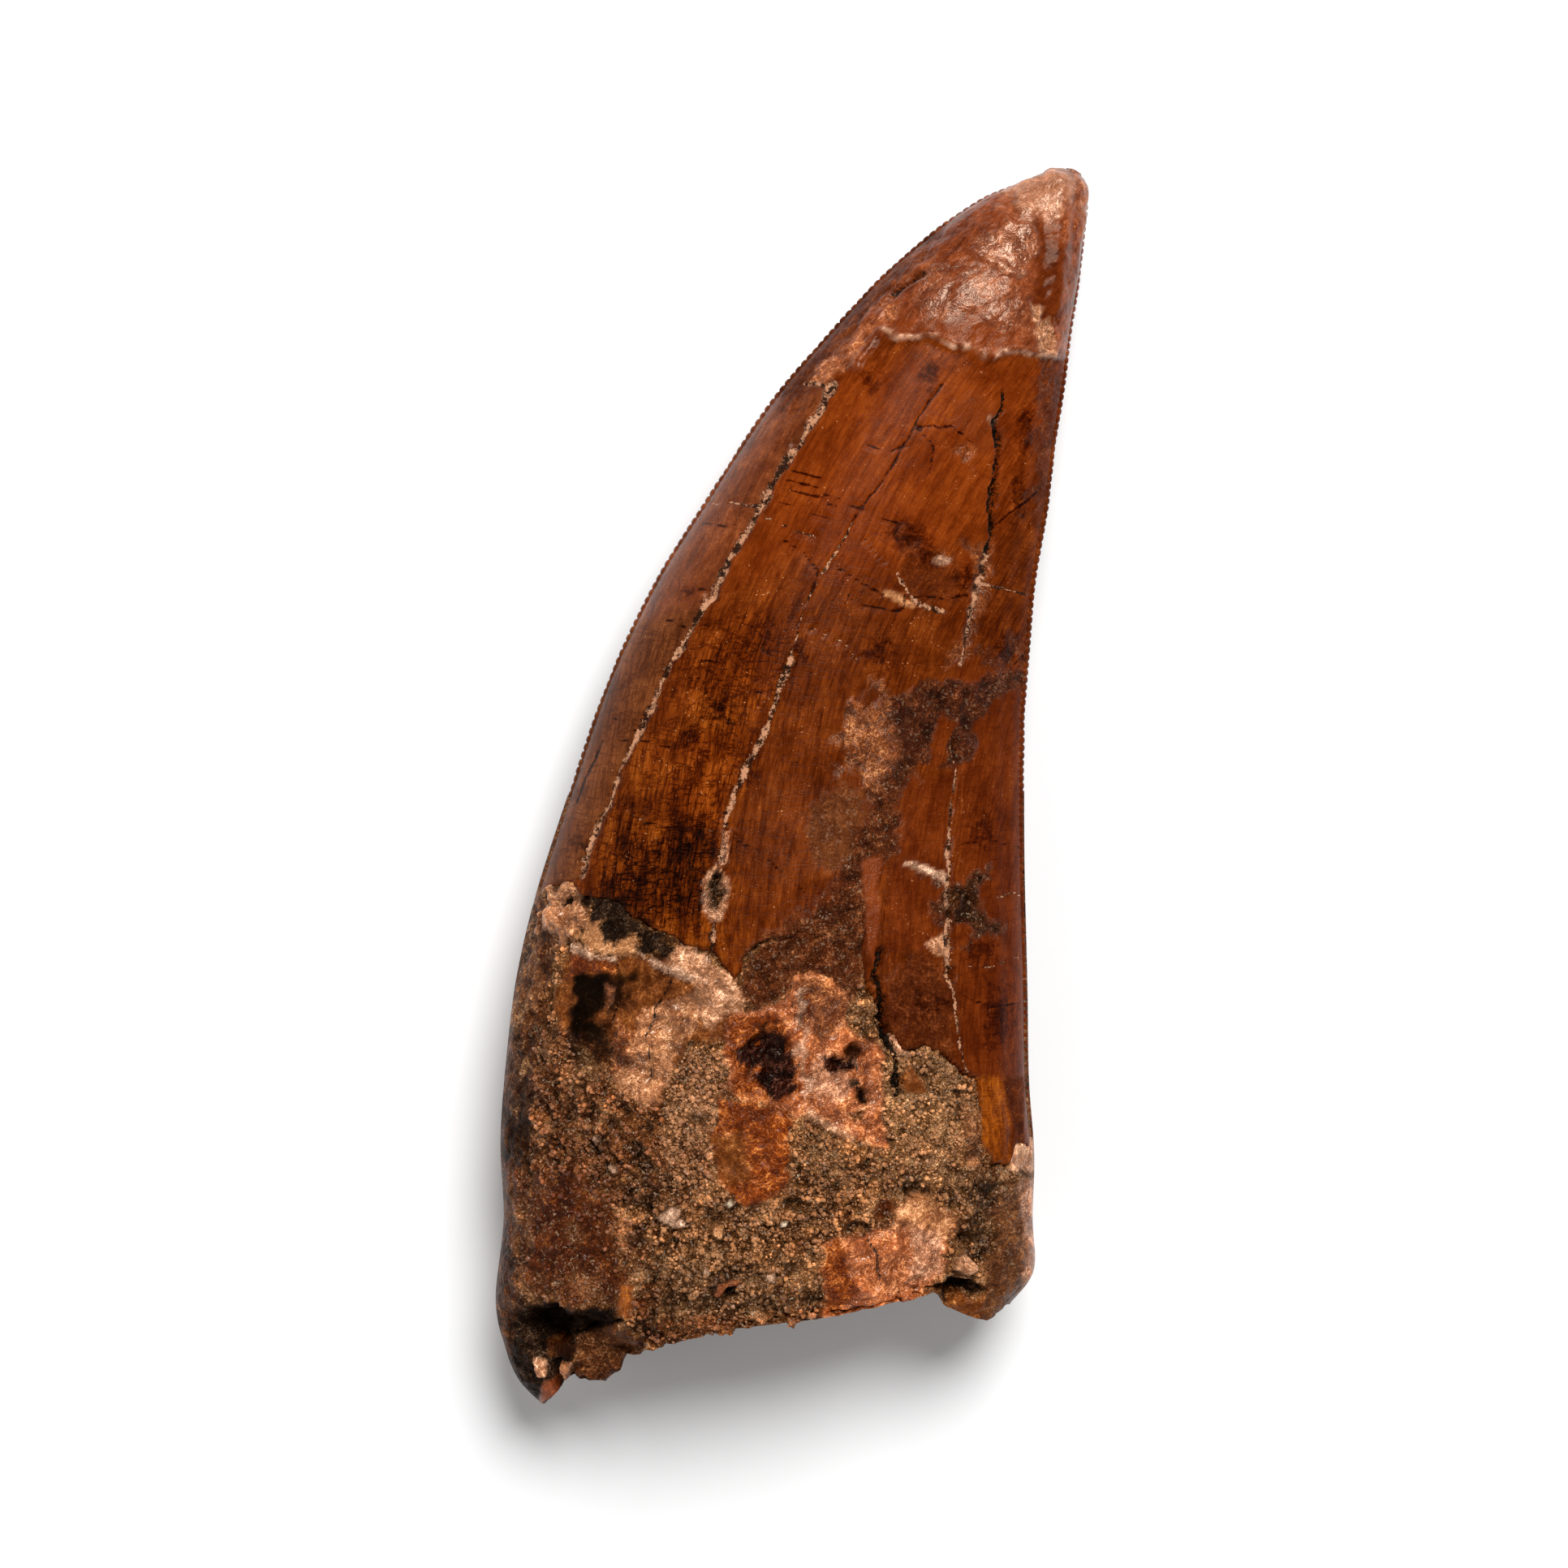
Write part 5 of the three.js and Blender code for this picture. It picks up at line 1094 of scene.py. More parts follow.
@dataclass(frozen=True)
class FaceGrid:
    """Base points of one face of the tooth, before its relief."""

    form: ToothForm
    side: FaceSide
    place: Array
    across: Array
    inset: float = 0.0

    def base(self) -> Array:
        """Return the points of the plain face.

        The plan is the form's, drawn in from both edges by the inset, and the
        height is the middle plane plus or minus half the thickness times the
        section's fullness.
        """
        place, across = self.place, self.across
        width = self.form.width(place)
        drawn = self.inset / width + across * (1.0 - 2.0 * self.inset / width)
        x, y = self.form.plan(place, drawn)
        rise = self.form.read("half", place) * self.form.fullness(place, across)
        z = self.form.middle(place) + self.side.value * rise
        if self.side is FaceSide.HIDDEN:
            z = z + self.form.waist(place, across)
        return np.stack([x, y, z], axis=-1)

    def thickness_share(self) -> Array:
        """Return how much relief the face may carry, 0 at the edges and 1 inside."""
        return np.clip(2.0 * self.form.fullness(self.place, self.across), 0.0, 1.0)

    def grain(self) -> Array:
        """Return the fibre coordinates: millimetres from the crest, and along the tooth."""
        sideways = (self.across - self.form.read("crest", self.place)) * self.form.width(self.place)
        along = self.form.edge_length(Edge.HOLLOW)[1][-1] * self.place * np.ones_like(sideways)
        return np.stack([sideways, along, np.full(sideways.shape, float(self.side.value))], axis=-1)


# The kind of mesh attribute by the count of its numbers, and the name of its field.
LAYERS = {1: ("FLOAT", "value"), 3: ("FLOAT_VECTOR", "vector"), 4: ("FLOAT_COLOR", "color")}


def put_mesh(name: str, points: Array, faces: Array, masks: dict[str, Array]) -> bpy.types.Object:
    """Make a smooth mesh object from arrays, at the origin, in metres.

    Args:
        name: the piece's name.
        points: vertex places in millimetres.
        faces: vertex numbers, three or four to a face.
        masks: per-vertex values by attribute name, numbers, triples or colours.

    Returns:
        The new object, linked to the scene.
    """
    mesh = bpy.data.meshes.new(name)
    count, corners = faces.shape
    mesh.vertices.add(len(points))
    mesh.vertices.foreach_set("co", (points * MILLIMETRE).astype(np.float32).ravel())
    mesh.loops.add(count * corners)
    mesh.loops.foreach_set("vertex_index", faces.astype(np.int32).ravel())
    mesh.polygons.add(count)
    mesh.polygons.foreach_set("loop_start", np.arange(0, count * corners, corners, dtype=np.int32))
    mesh.update(calc_edges=True)
    mesh.validate()
    mesh.shade_smooth()
    for label, values in masks.items():
        kind, field = LAYERS[1 if values.ndim == 1 else values.shape[1]]
        layer = mesh.attributes.new(label, kind, "POINT")
        layer.data.foreach_set(field, values.astype(np.float32).ravel())
    piece = bpy.data.objects.new(name, mesh)
    bpy.context.scene.collection.objects.link(piece)
    return piece


def whole(faces: Array) -> Array:
    """Leave out the triangles that have two equal corners."""
    first, second, third = faces.T
    return faces[(first != second) & (second != third) & (first != third)]


def grid_faces(rows: Array) -> Array:
    """Return the two triangles of every cell of a grid of vertex numbers."""
    first, second = rows[:-1, :-1].ravel(), rows[:-1, 1:].ravel()
    third, fourth = rows[1:, 1:].ravel(), rows[1:, :-1].ravel()
    return whole(np.concatenate([np.stack([first, second, third], 1), np.stack([first, third, fourth], 1)]))


def fan(loop: Array, hub: int) -> Array:
    """Return the triangles that close a loop of vertex numbers around a middle one."""
    return np.stack([np.roll(loop, -1), loop, np.full(len(loop), hub)], axis=1)


@dataclass
class Shell:
    """Two faces of a closed body that share their edge columns."""

    seen: Array
    hidden: Array
    seen_masks: dict[str, Array]
    hidden_masks: dict[str, Array]

    def numbers(self) -> tuple[Array, Array]:
        """Number the vertices of both grids, with the edge columns shared.

        Returns:
            The vertex numbers of the seen grid and of the hidden grid.
        """
        rows, columns = self.seen.shape[:2]
        seen = np.arange(rows * columns).reshape(rows, columns)
        inner = self.hidden.shape[1] - 2
        hidden = np.empty((rows, inner + 2), dtype=int)
        hidden[:, 1:-1] = rows * columns + np.arange(rows * inner).reshape(rows, inner)
        hidden[:, 0], hidden[:, -1] = seen[:, 0], seen[:, -1]
        return seen, hidden

    def points(self) -> Array:
        """Return all vertices: the seen grid, then the inner columns of the hidden one."""
        return np.concatenate([self.seen.reshape(-1, 3), self.hidden[:, 1:-1].reshape(-1, 3)])

    def masks(self) -> dict[str, Array]:
        """Return the masks of all vertices in the same order as the points."""
        joined = {}
        for label, seen in self.seen_masks.items():
            hidden = self.hidden_masks[label][:, 1:-1]
            tail = seen.shape[2:]
            joined[label] = np.concatenate([seen.reshape((-1,) + tail), hidden.reshape((-1,) + tail)])
        return joined


# How much of a darker tone is made by a gamma, which keeps the colour strong.
DEEPENING = 0.3
NUMBER = "NodeSocketFloat"
VECTOR = "NodeSocketVector"


class Wiring:
    """Adds nodes to one node tree and links them."""

    def __init__(self, tree: bpy.types.NodeTree) -> None:
        """Start on a tree."""
        self.tree = tree

    def node(self, kind: str, inputs: dict | None = None, **settings: object) -> bpy.types.Node:
        """Add a node, set its properties, and feed its inputs by name or number."""
        node = self.tree.nodes.new(kind)
        for name, value in settings.items():
            setattr(node, name, value)
        for name, value in (inputs or {}).items():
            self.feed(node.inputs[name], value)
        return node

    def feed(self, socket: Socket, value: object) -> None:
        """Link a socket to another one, or set its number or colour."""
        if isinstance(value, bpy.types.NodeSocket):
            self.tree.links.new(value, socket)
        else:
            socket.default_value = value

    def maths(self, operation: str, first: object, second: object = 0.0, clamp: bool = False) -> Socket:
        """Add a Math node and return its result."""
        inputs = {0: first, 1: second}
        return self.node("ShaderNodeMath", inputs, operation=operation, use_clamp=clamp).outputs[0]

    def product(self, first: object, *factors: object) -> Socket:
        """Multiply values in order."""
        for factor in factors:
            first = self.maths("MULTIPLY", first, factor)
        return first

    def total(self, first: object, *parts: object) -> Socket:
        """Add values up in order."""
        for part in parts:
            first = self.maths("ADD", first, part)
        return first

    def between(self, value: object, low: float, high: float, start: float = 0.0, end: float = 1.0) -> Socket:
        """Map a value from the range low to high onto start to end, smoothly and clamped."""
        inputs = dict(enumerate((value, low, high, start, end)))
        return self.node("ShaderNodeMapRange", inputs, interpolation_type="SMOOTHSTEP", clamp=True).outputs[0]

    def fold(self, value: Socket, width: float, crest: float = 1.0, ground: float = 0.0,
             core: float = 0.0) -> Socket:
        """Return crest where a noise passes its middle value, and ground from a width away."""
        away = self.maths("ABSOLUTE", self.maths("SUBTRACT", value, 0.5))
        return self.between(away, core, width, crest, ground)

    def mix(self, share: object, first: object, second: object) -> Socket:
        """Mix two colours and return the result."""
        inputs = {0: share, 6: first, 7: second}
        return self.node("ShaderNodeMix", inputs, data_type="RGBA", clamp_factor=True).outputs[2]

    def attribute(self, name: str, output: str = "Fac") -> Socket:
        """Read what the mesh carries at each vertex: a number, a Vector or a Color."""
        kept = self.node("ShaderNodeAttribute", attribute_name=name, attribute_type="GEOMETRY")
        return kept.outputs[output]

    def toned(self, colour: Socket, tone: object, share: object) -> Socket:
        """Multiply a colour by a tone as far as share says, and deepen it where the tone is dark."""
        change = self.product(self.maths("SUBTRACT", tone, 1.0), share)
        gamma = self.maths("SUBTRACT", 1.0, self.product(change, DEEPENING))
        deeper = self.node("ShaderNodeGamma", {0: colour, 1: gamma}).outputs[0]
        inputs = {0: deeper, "Scale": self.total(change, 1.0)}
        return self.node("ShaderNodeVectorMath", inputs, operation="SCALE").outputs[0]

    def stretch(self, vector: Socket, scale: Place, shift: float = 0.0) -> Socket:
        """Scale a place along its three axes and shift it."""
        inputs = {"Vector": vector, "Scale": scale, "Location": (shift, shift, shift)}
        return self.node("ShaderNodeMapping", inputs, vector_type="POINT").outputs[0]

    def noise(self, place: Socket, scale: float, detail: float = 3.0, rough: float = 0.5,
              bend: float = 0.0) -> Socket:
        """Add a Noise Texture and return its value from 0 to 1."""
        inputs = {"Vector": place, "Scale": scale, "Detail": detail, "Roughness": rough, "Distortion": bend}
        return self.node("ShaderNodeTexNoise", inputs, noise_dimensions="3D").outputs["Fac"]

    def group(self, tree: bpy.types.NodeTree, **inputs: Socket) -> bpy.types.bpy_prop_collection:
        """Add a shader node group, feed its inputs by name and return its outputs."""
        return self.node("ShaderNodeGroup", inputs, node_tree=tree).outputs

    def bump(self, height: Socket, distance: float, normal: Socket | None = None) -> Socket:
        """Turn a height of 0 to 1 into a normal, with the height's full size in metres."""
        inputs = {"Strength": 1.0, "Distance": distance, "Height": height}
        if normal is not None:
            inputs["Normal"] = normal
        return self.node("ShaderNodeBump", inputs).outputs["Normal"]


class GroupWiring(Wiring):
    """Wires a new shader node group, whose inputs are vectors."""

    def __init__(self, name: str, *inputs: str) -> None:
        """Start the group with its inputs by name."""
        super().__init__(bpy.data.node_groups.new(name, "ShaderNodeTree"))
        for label in inputs:
            self.tree.interface.new_socket(label, in_out="INPUT", socket_type=VECTOR)
        self.given = self.node("NodeGroupInput").outputs

    def give(self, kind: str = NUMBER, **outputs: Socket) -> bpy.types.NodeTree:
        """Put values out of the group by name, all of one kind, and return it."""
        for label in outputs:
            self.tree.interface.new_socket(label, in_out="OUTPUT", socket_type=kind)
        self.node("NodeGroupOutput", outputs)
        return self.tree


def millimetre_place_group() -> bpy.types.NodeTree:
    """Group that gives the place on a piece in millimetres."""
    group = GroupWiring("place in millimetres")
    scale = 1.0 / MILLIMETRE
    place = group.node("ShaderNodeTexCoord").outputs["Object"]
    return group.give(VECTOR, Place=group.stretch(place, (scale, scale, scale)))


def sandy_grit_group() -> bpy.types.NodeTree:
    """Group for sandy grit: packed grains of different tones in two sizes, with painted shade in the gaps.

    Tone is a factor for the colour, about 1 in the middle, darker in the gaps and lighter on the domes as
    painted shade and light, Height the domes of the grains, and Speck the few pale ones, partly painted
    sparkle.
    """
    group = GroupWiring("sandy grit", "Place")
    place = group.given["Place"]
    wobble = group.node("ShaderNodeTexNoise", {"Vector": place, "Scale": 2.4}).outputs["Color"]
    bent = group.node("ShaderNodeVectorMath", {0: place, 1: wobble}, operation="ADD").outputs[0]
    tones, domes, picks = [], [], []
    for scale, tone, dome in ((3.2, 0.7, 0.6), (6.5, 0.65, 0.4)):
        inputs = {"Vector": bent, "Scale": scale}
        cells = group.node("ShaderNodeTexVoronoi", inputs, voronoi_dimensions="3D", feature="F1").outputs
        parts = group.node("ShaderNodeSeparateColor", {0: cells["Color"]}).outputs
        tones.append(group.product(parts[0], tone))
        domes.append(group.product(group.between(cells["Distance"], 0.1, 0.8, 1.0, 0.0), dome))
        picks.append(parts[1])
    cloud = group.between(group.noise(place, 0.55, 5.0, 0.62), 0.34, 0.66, -0.4, 0.5)
    height = group.total(*domes)
    # Painted shade in the gaps between grains and painted light on their domes.
    tone = group.product(group.total(*tones, cloud, 0.17), group.between(height, 0.12, 0.55, 0.46, 1.14))
    return group.give(Tone=tone, Height=height, Speck=group.between(picks[1], 0.91, 0.95))


def crinkle_group() -> bpy.types.NodeTree:
    """Group for crinkled skin: thin raised folds in two sizes on a mottled ground.

    Tone is a factor for the colour: painted shade between the folds and painted light on them, darker in
    clouds, and painted glints on thin threads; Height is 1 on the folds.
    """
    group = GroupWiring("crinkled skin with painted light", "Place")
    place = group.given["Place"]
    folds = []
    for scale, width, share in ((0.75, 0.07, 0.55), (1.7, 0.11, 0.45)):
        folds.append(group.product(group.fold(group.noise(place, scale, 1.5, 0.5, 1.4), width), share))
    height = group.total(*folds)
    mottled = group.between(group.noise(place, 0.7, 6.0, 0.68, 0.4), 0.34, 0.64, 0.48, 1.26)
    painted_glint_threads = group.fold(group.noise(place, 2.6, 2.5, 0.6, 1.2), 0.05, 1.5, 0.92)
    # Painted shade between the folds, painted light on them, and painted glints on the threads.
    tone = group.product(mottled, group.between(height, 0.0, 0.9, 0.74, 1.45), painted_glint_threads)
    return group.give(Tone=tone, Height=height)


def enamel_grain_group() -> bpy.types.NodeTree:
    """Group for the enamel: short streaks along the fibres, a net of fine lines, pale specks that are painted
    glints.

    Tone is a factor for the colour, Line is 1 on the net, and Speck 1 on the painted
    glints, which come in clusters.
    """
    group = GroupWiring("enamel grain", "Grain", "Place")
    grain, place = group.given["Grain"], group.given["Place"]
    fine = group.noise(group.stretch(grain, (5.0, 0.9, 1.0)), 1.0, 5.0, 0.66, 0.4)
    middling = group.noise(group.stretch(grain, (1.6, 0.4, 1.0), 5.0), 1.0, 5.0, 0.66, 0.5)
    cloud = group.noise(place, 0.3, 6.0, 0.62, 0.5)
    tone = group.total(group.between(cloud, 0.3, 0.7, 0.74, 1.16), group.between(fine, 0.3, 0.7, -0.17, 0.17))
    tone = group.product(tone, group.between(middling, 0.42, 0.68, 1.08, 0.68))
    lines = []
    for scale, shift in (((2.6, 0.5, 1.0), 7.0), ((0.5, 2.4, 1.0), 3.0)):
        ridged = group.noise(group.stretch(grain, scale, shift), 1.0, 3.0, 0.6, 0.4)
        lines.append(group.fold(ridged, 0.045, core=0.002))
    line = group.maths("MAXIMUM", *lines)
    clustered = group.total(group.noise(place, 5.5, 2.0, 0.5), group.product(cloud, 0.35))
    height = group.maths("SUBTRACT", group.product(fine, 0.6), group.product(line, 0.3))
    return group.give(Tone=tone, Line=line, Speck=group.between(clustered, 0.89, 0.96), Height=height)


class SharedGroups:
    """The shader node groups that several materials use, each built once."""

    def __init__(self) -> None:
        """Build all the groups."""
        self.place = millimetre_place_group()
        self.grit = sandy_grit_group()
        self.crinkle = crinkle_group()
        self.enamel_grain = enamel_grain_group()


def new_material(name: str) -> tuple[bpy.types.Material, Wiring, bpy.types.Node]:
    """Start a material with an empty tree.

    Args:
        name: the material's name.

    Returns:
        The material, a wiring for its tree, and its Principled BSDF.
    """
    material = bpy.data.materials.new(name)
    material.use_nodes = True
    material.node_tree.nodes.clear()
    wiring = Wiring(material.node_tree)
    shader = wiring.node("ShaderNodeBsdfPrincipled")
    wiring.node("ShaderNodeOutputMaterial", {"Surface": shader.outputs[0]})
    return material, wiring, shader


@dataclass(frozen=True)
class FossilFinish:
    """The finish of enamel, dentine, bone and matrix, as the ground at each point says."""

    groups: SharedGroups
    name: str
    infill: Colour = seen(210, 150, 112)
    infill_dark: Colour = seen(44, 20, 9)
    # Near black in open cracks: painted shade down in the gap.
    gap_shade: Colour = seen(14, 7, 3)
    pale_grain_and_sparkle: Colour = seen(222, 186, 150)
    painted_glint: Colour = seen(206, 140, 90)
    glint: Colour = (1.0, 0.74, 0.56, 1.0)
    stain_tone: float = 0.5
    hairline_tone: float = 0.2
    line_tone: float = 0.45
    enamel_bump: float = 0.000015
    crinkle_bump: float = 0.00005
    infill_bump: float = 0.00016
    grit_bump: float = 0.00045

    def ground_colour(self, wiring: Wiring, place: Socket) -> tuple[Socket, Socket]:
        """Colour the ground: its tint times the tones of grit, crinkles and enamel grain, which carry painted
        shade, light and glints.

        Args:
            wiring: the material's wiring.
            place: the place in millimetres.

        Returns:
            The colour, and the normal that the three reliefs bend.
        """
        sand, fibre, crinkle = (wiring.attribute(name) for name in ("sand", "fibre", "crinkle"))
        grit = wiring.group(self.groups.grit, Place=place)
        folded = wiring.group(self.groups.crinkle, Place=place)
        grain = wiring.group(self.groups.enamel_grain, Grain=wiring.attribute("grain", "Vector"), Place=place)
        bare = wiring.maths("SUBTRACT", crinkle, wiring.product(sand, 0.5), clamp=True)
        stained = wiring.product(wiring.attribute("stain"), fibre)
        netted = wiring.maths("MAXIMUM", wiring.attribute("weave"), stained)
        colour = wiring.toned(wiring.attribute("tint", "Color"), grit["Tone"], sand)
        colour = wiring.toned(colour, folded["Tone"], bare)
        colour = wiring.toned(colour, grain["Tone"], fibre)
        colour = wiring.toned(colour, self.line_tone, wiring.product(grain["Line"], netted))
        # Painted glints: pale specks on the enamel.
        colour = wiring.mix(wiring.product(grain["Speck"], fibre), colour, self.painted_glint)
        # Pale sand grains, partly painted sparkle.
        colour = wiring.mix(wiring.product(sand, 0.8, grit["Speck"]), colour, self.pale_grain_and_sparkle)
        normal = wiring.bump(wiring.product(grain["Height"], fibre), self.enamel_bump)
        normal = wiring.bump(wiring.product(folded["Height"], crinkle), self.crinkle_bump, normal)
        return colour, wiring.bump(wiring.product(grit["Height"], sand), self.grit_bump, normal)

    def material(self) -> bpy.types.Material:
        """Build the material: the ground, then stains, hairlines, filled cracks and open ones.

        Returns:
            The material.
        """
        material, wiring, shader = new_material(self.name)
        place = wiring.group(self.groups.place)["Place"]
        colour, normal = self.ground_colour(wiring, place)
        patchy = wiring.noise(place, 1.3, 6.0, 0.74, 0.4)
        stain = wiring.total(wiring.attribute("stain"), wiring.between(patchy, 0.3, 0.7, -0.7, 0.5))
        colour = wiring.toned(colour, self.stain_tone, wiring.between(stain, 0.3, 1.2))
        thin = wiring.total(wiring.attribute("hairline"), wiring.between(patchy, 0.3, 0.7, -0.5, 1.0))
        colour = wiring.toned(colour, self.hairline_tone, wiring.between(thin, 0.5, 1.8, 1.0, 0.0))
        edge = wiring.between(wiring.noise(place, 4.2, 4.0, 0.7), 0.3, 0.7, -0.6, 0.6)
        filled = wiring.between(wiring.total(wiring.attribute("filled"), edge), 0.75, 1.05, 1.0, 0.0)
        crumbs = wiring.between(wiring.noise(place, 1.1, 6.0, 0.8), 0.45, 0.54)
        colour = wiring.mix(filled, colour, wiring.mix(crumbs, self.infill_dark, self.infill))
        # Painted shade in the open cracks.
        gap_shade = wiring.between(wiring.total(wiring.attribute("open"), edge), 0.6, 1.0, 1.0, 0.0)
        cracked = wiring.product(wiring.maths("MAXIMUM", filled, gap_shade), 0.35)
        worn = wiring.between(patchy, 0.3, 0.7, -0.03, 0.05)
        crumbly = wiring.product(filled, wiring.noise(place, 3.4, 5.0, 0.72))
        wiring.feed(shader.inputs["Base Color"], wiring.mix(gap_shade, colour, self.gap_shade))
        wiring.feed(shader.inputs["Roughness"], wiring.total(wiring.attribute("rough"), worn, cracked))
        wiring.feed(shader.inputs["Normal"], wiring.bump(crumbly, self.infill_bump, normal))
        wiring.feed(shader.inputs["Specular IOR Level"], wiring.attribute("shine"))
        shader.inputs["IOR"].default_value = 1.5
        shader.inputs["Specular Tint"].default_value = self.glint
        return material


@dataclass(frozen=True)
class GrainFinish:
    """Sand grains: the tint of the ground they sit on, each a little lighter or darker."""

    groups: SharedGroups
    roughness: float = 0.45
    bump: float = 0.00003

    def material(self) -> bpy.types.Material:
        """Build the grain material from the tint that each grain carries.

        Returns:
            The material.
        """
        material, wiring, shader = new_material("sand_grains")
        place = wiring.group(self.groups.place)["Place"]
        cloudy = wiring.between(wiring.noise(place, 5.0, 4.0, 0.6), 0.3, 0.7, 0.75, 1.2)
        wiring.feed(shader.inputs["Base Color"], wiring.toned(wiring.attribute("tint", "Color"), cloudy, 1.0))
        wiring.feed(shader.inputs["Normal"], wiring.bump(wiring.noise(place, 9.0, 3.0, 0.6), self.bump))
        shader.inputs["Roughness"].default_value = self.roughness
        return material


def dress(piece: bpy.types.Object, material: bpy.types.Material) -> None:
    """Give a piece its material, body and slot, and let it stand for the solid tooth."""
    piece.data.materials.append(material)
    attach(piece, BODY)
    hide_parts(NODE)
    logger.info("%s: %d faces", piece.name, len(piece.data.polygons))


@dataclass(frozen=True)
class Frame:
    """Where the form's own millimetres lie in the shared frame."""

    form: ToothForm

    def shift(self) -> Array:
        """Return the move that puts the form's box in the middle of the solid's box."""
        place = np.linspace(0.0, 1.0, EDGE_STEPS)
        edges = np.concatenate([self.form.edge_points(edge, place) for edge in Edge], axis=1)
        middle = (edges.min(axis=1) + edges.max(axis=1)) / 2.0
        low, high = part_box(NODE)
        solid_middle = np.add(low, high) / (2.0 * MILLIMETRE)
        return np.append(solid_middle[:2] - middle, 0.0)


def covered_depth(place: Array) -> Array:
    """Return how deep points lie inside the ragged lower border of the enamel, in millimetres."""
    x, y = wander(place, 2.2, 0.5, 11)
    return depth_inside(x, y, CROWN_REGION)


@dataclass(frozen=True)
class EnamelCrown:
    """The enamel crown: a closed body from the tip to below its ragged lower border."""

    form: ToothForm
    marks: CrownFace
    under: UnderFace
    finish: FossilFinish
    start: float = 0.175
    rings: int = 362
    seen_columns: int = 200
    hidden_columns: int = 60
    tip_rings: int = 7
    inset: float = 0.24
    sunk: float = 1.6
    border_slope: float = 0.1
    wave_height: float = 0.014
    wrinkle_height: float = 0.13
    fine_wrinkles: float = 0.6
    groove_inset: float = 1.25
    groove_depth: float = 0.1
    groove_reach: float = 0.5
    trim_width: float = 0.16

    def ground(self, place: Array) -> Ground:
        """Lay the seen face's ground at any points of the crown."""
        ground = Ground(place, self.marks.enamel, seed=131)
        ground.lay(self.marks.patches)
        # Pale rims along the ledge and the inner ledge, partly painted glints.
        ground.trim(LEDGE_AND_PAINTED_GLINT, self.marks.ledge.path, self.trim_width)
        ground.trim(GLAZE_AND_PAINTED_SHEEN, self.marks.inner_ledge.path, self.trim_width)
        return ground

    def shared_height(self, place: Array) -> Array:
        """Return the height that both faces share: sunk outside the lower border, slow waves."""
        border = smooth_step(-self.border_slope, self.border_slope, covered_depth(place))
        waves = crumple(place * np.array([1.0, 1.6, 1.0]), 3.4, 3, 23)
        return self.sunk * (border - 1.0) + self.wave_height * waves

    def seen_face(self, place: Array) -> tuple[Array, dict[str, Array]]:
        """Shape and colour the seen face: cracks, ground, pits, and the wrinkled tip plate.

        Args:
            place: base points in millimetres.

        Returns:
            The height off the base, and the masks of the material.
        """
        marks = self.marks
        cut, masks = crack_relief(place, marks.all_cracks(), 3)
        ground = self.ground(place)
        x, y = wander(place, 1.4, 0.2, 31)
        plate = smooth_step(-0.3, 0.6, depth_inside(x, y, TIP_PLATE))
        wrinkles = crumple(place * np.array([1.0, 1.5, 1.0]), 1.6, 3, 51)
        wrinkles = wrinkles + self.fine_wrinkles * crumple(place, 0.6, 2, 57)
        height = self.shared_height(place) + cut + ground.height() + self.wrinkle_height * wrinkles * plate
        for fold in (marks.inner_ledge, marks.ledge, marks.groove, marks.ridge, marks.notch):
            height = height + fold.relief(x, y)
        height = height - spot_height(x, y, marks.pits)
        return height, masks | ground.masks() | {"stain": spot_share(x, y, marks.stains)}

    def hidden_face(self, place: Array) -> tuple[Array, dict[str, Array]]:
        """Shape and colour the hidden face: cracks, ground and broad stains."""
        cut, masks = crack_relief(place, self.under.cracks, 3)
        ground = Ground(place, ENAMEL, seed=151)
        ground.lay(self.under.crown_patches)
        stain = smooth_step(0.25, 0.9, crumple(place, 7.0, 3, 71))
        return self.shared_height(place) + cut + ground.height(), masks | ground.masks() | {"stain": stain}

    def tip_cap(self, ring: Array) -> Array:
        """Carry the last ring to the apex on a dome.

        Ring q stands at apex base + (ring - base) cos q + (apex - base) sin q,
        with q from 0 to a quarter turn.

        Args:
            ring: the points of the last ring.

        Returns:
            The rings of the dome, the last one at the apex.
        """
        base = (ring[0] + ring[-1]) / 2.0
        turn = (np.linspace(0.0, 0.5, self.tip_rings + 1)[1:] * np.pi)[:, None, None]
        return base + (ring - base)[None] * np.cos(turn) + (np.array(self.form.apex) - base) * np.sin(turn)

    def face(self, side: FaceSide, columns: int) -> tuple[Array, dict[str, Array]]:
        """Work out one face of the crown.

        Args:
            side: which face.
            columns: spans from edge to edge.

        Returns:
            The points, and the masks of each point.
        """
        place = np.linspace(self.start, 1.0, self.rings)[:, None]
        grid = FaceGrid(self.form, side, place, column_places(columns)[None, :], self.inset)
        base = grid.base()
        height, masks = self.seen_face(base) if side is FaceSide.SEEN else self.hidden_face(base)
        right = (1.0 - grid.across) * self.form.width(place)
        groove = self.groove_depth * np.exp(-(((right - self.groove_inset) / self.groove_reach) ** 2))
        normal = surface_normals(base) * side.value
        points = base + (grid.thickness_share() * (height - groove))[..., None] * normal
        masks["grain"] = grid.grain()
        points = np.concatenate([points, self.tip_cap(points[-1])])
        for label, values in masks.items():
            masks[label] = np.concatenate([values, np.repeat(values[-1:], self.tip_rings, axis=0)])
        return points, masks

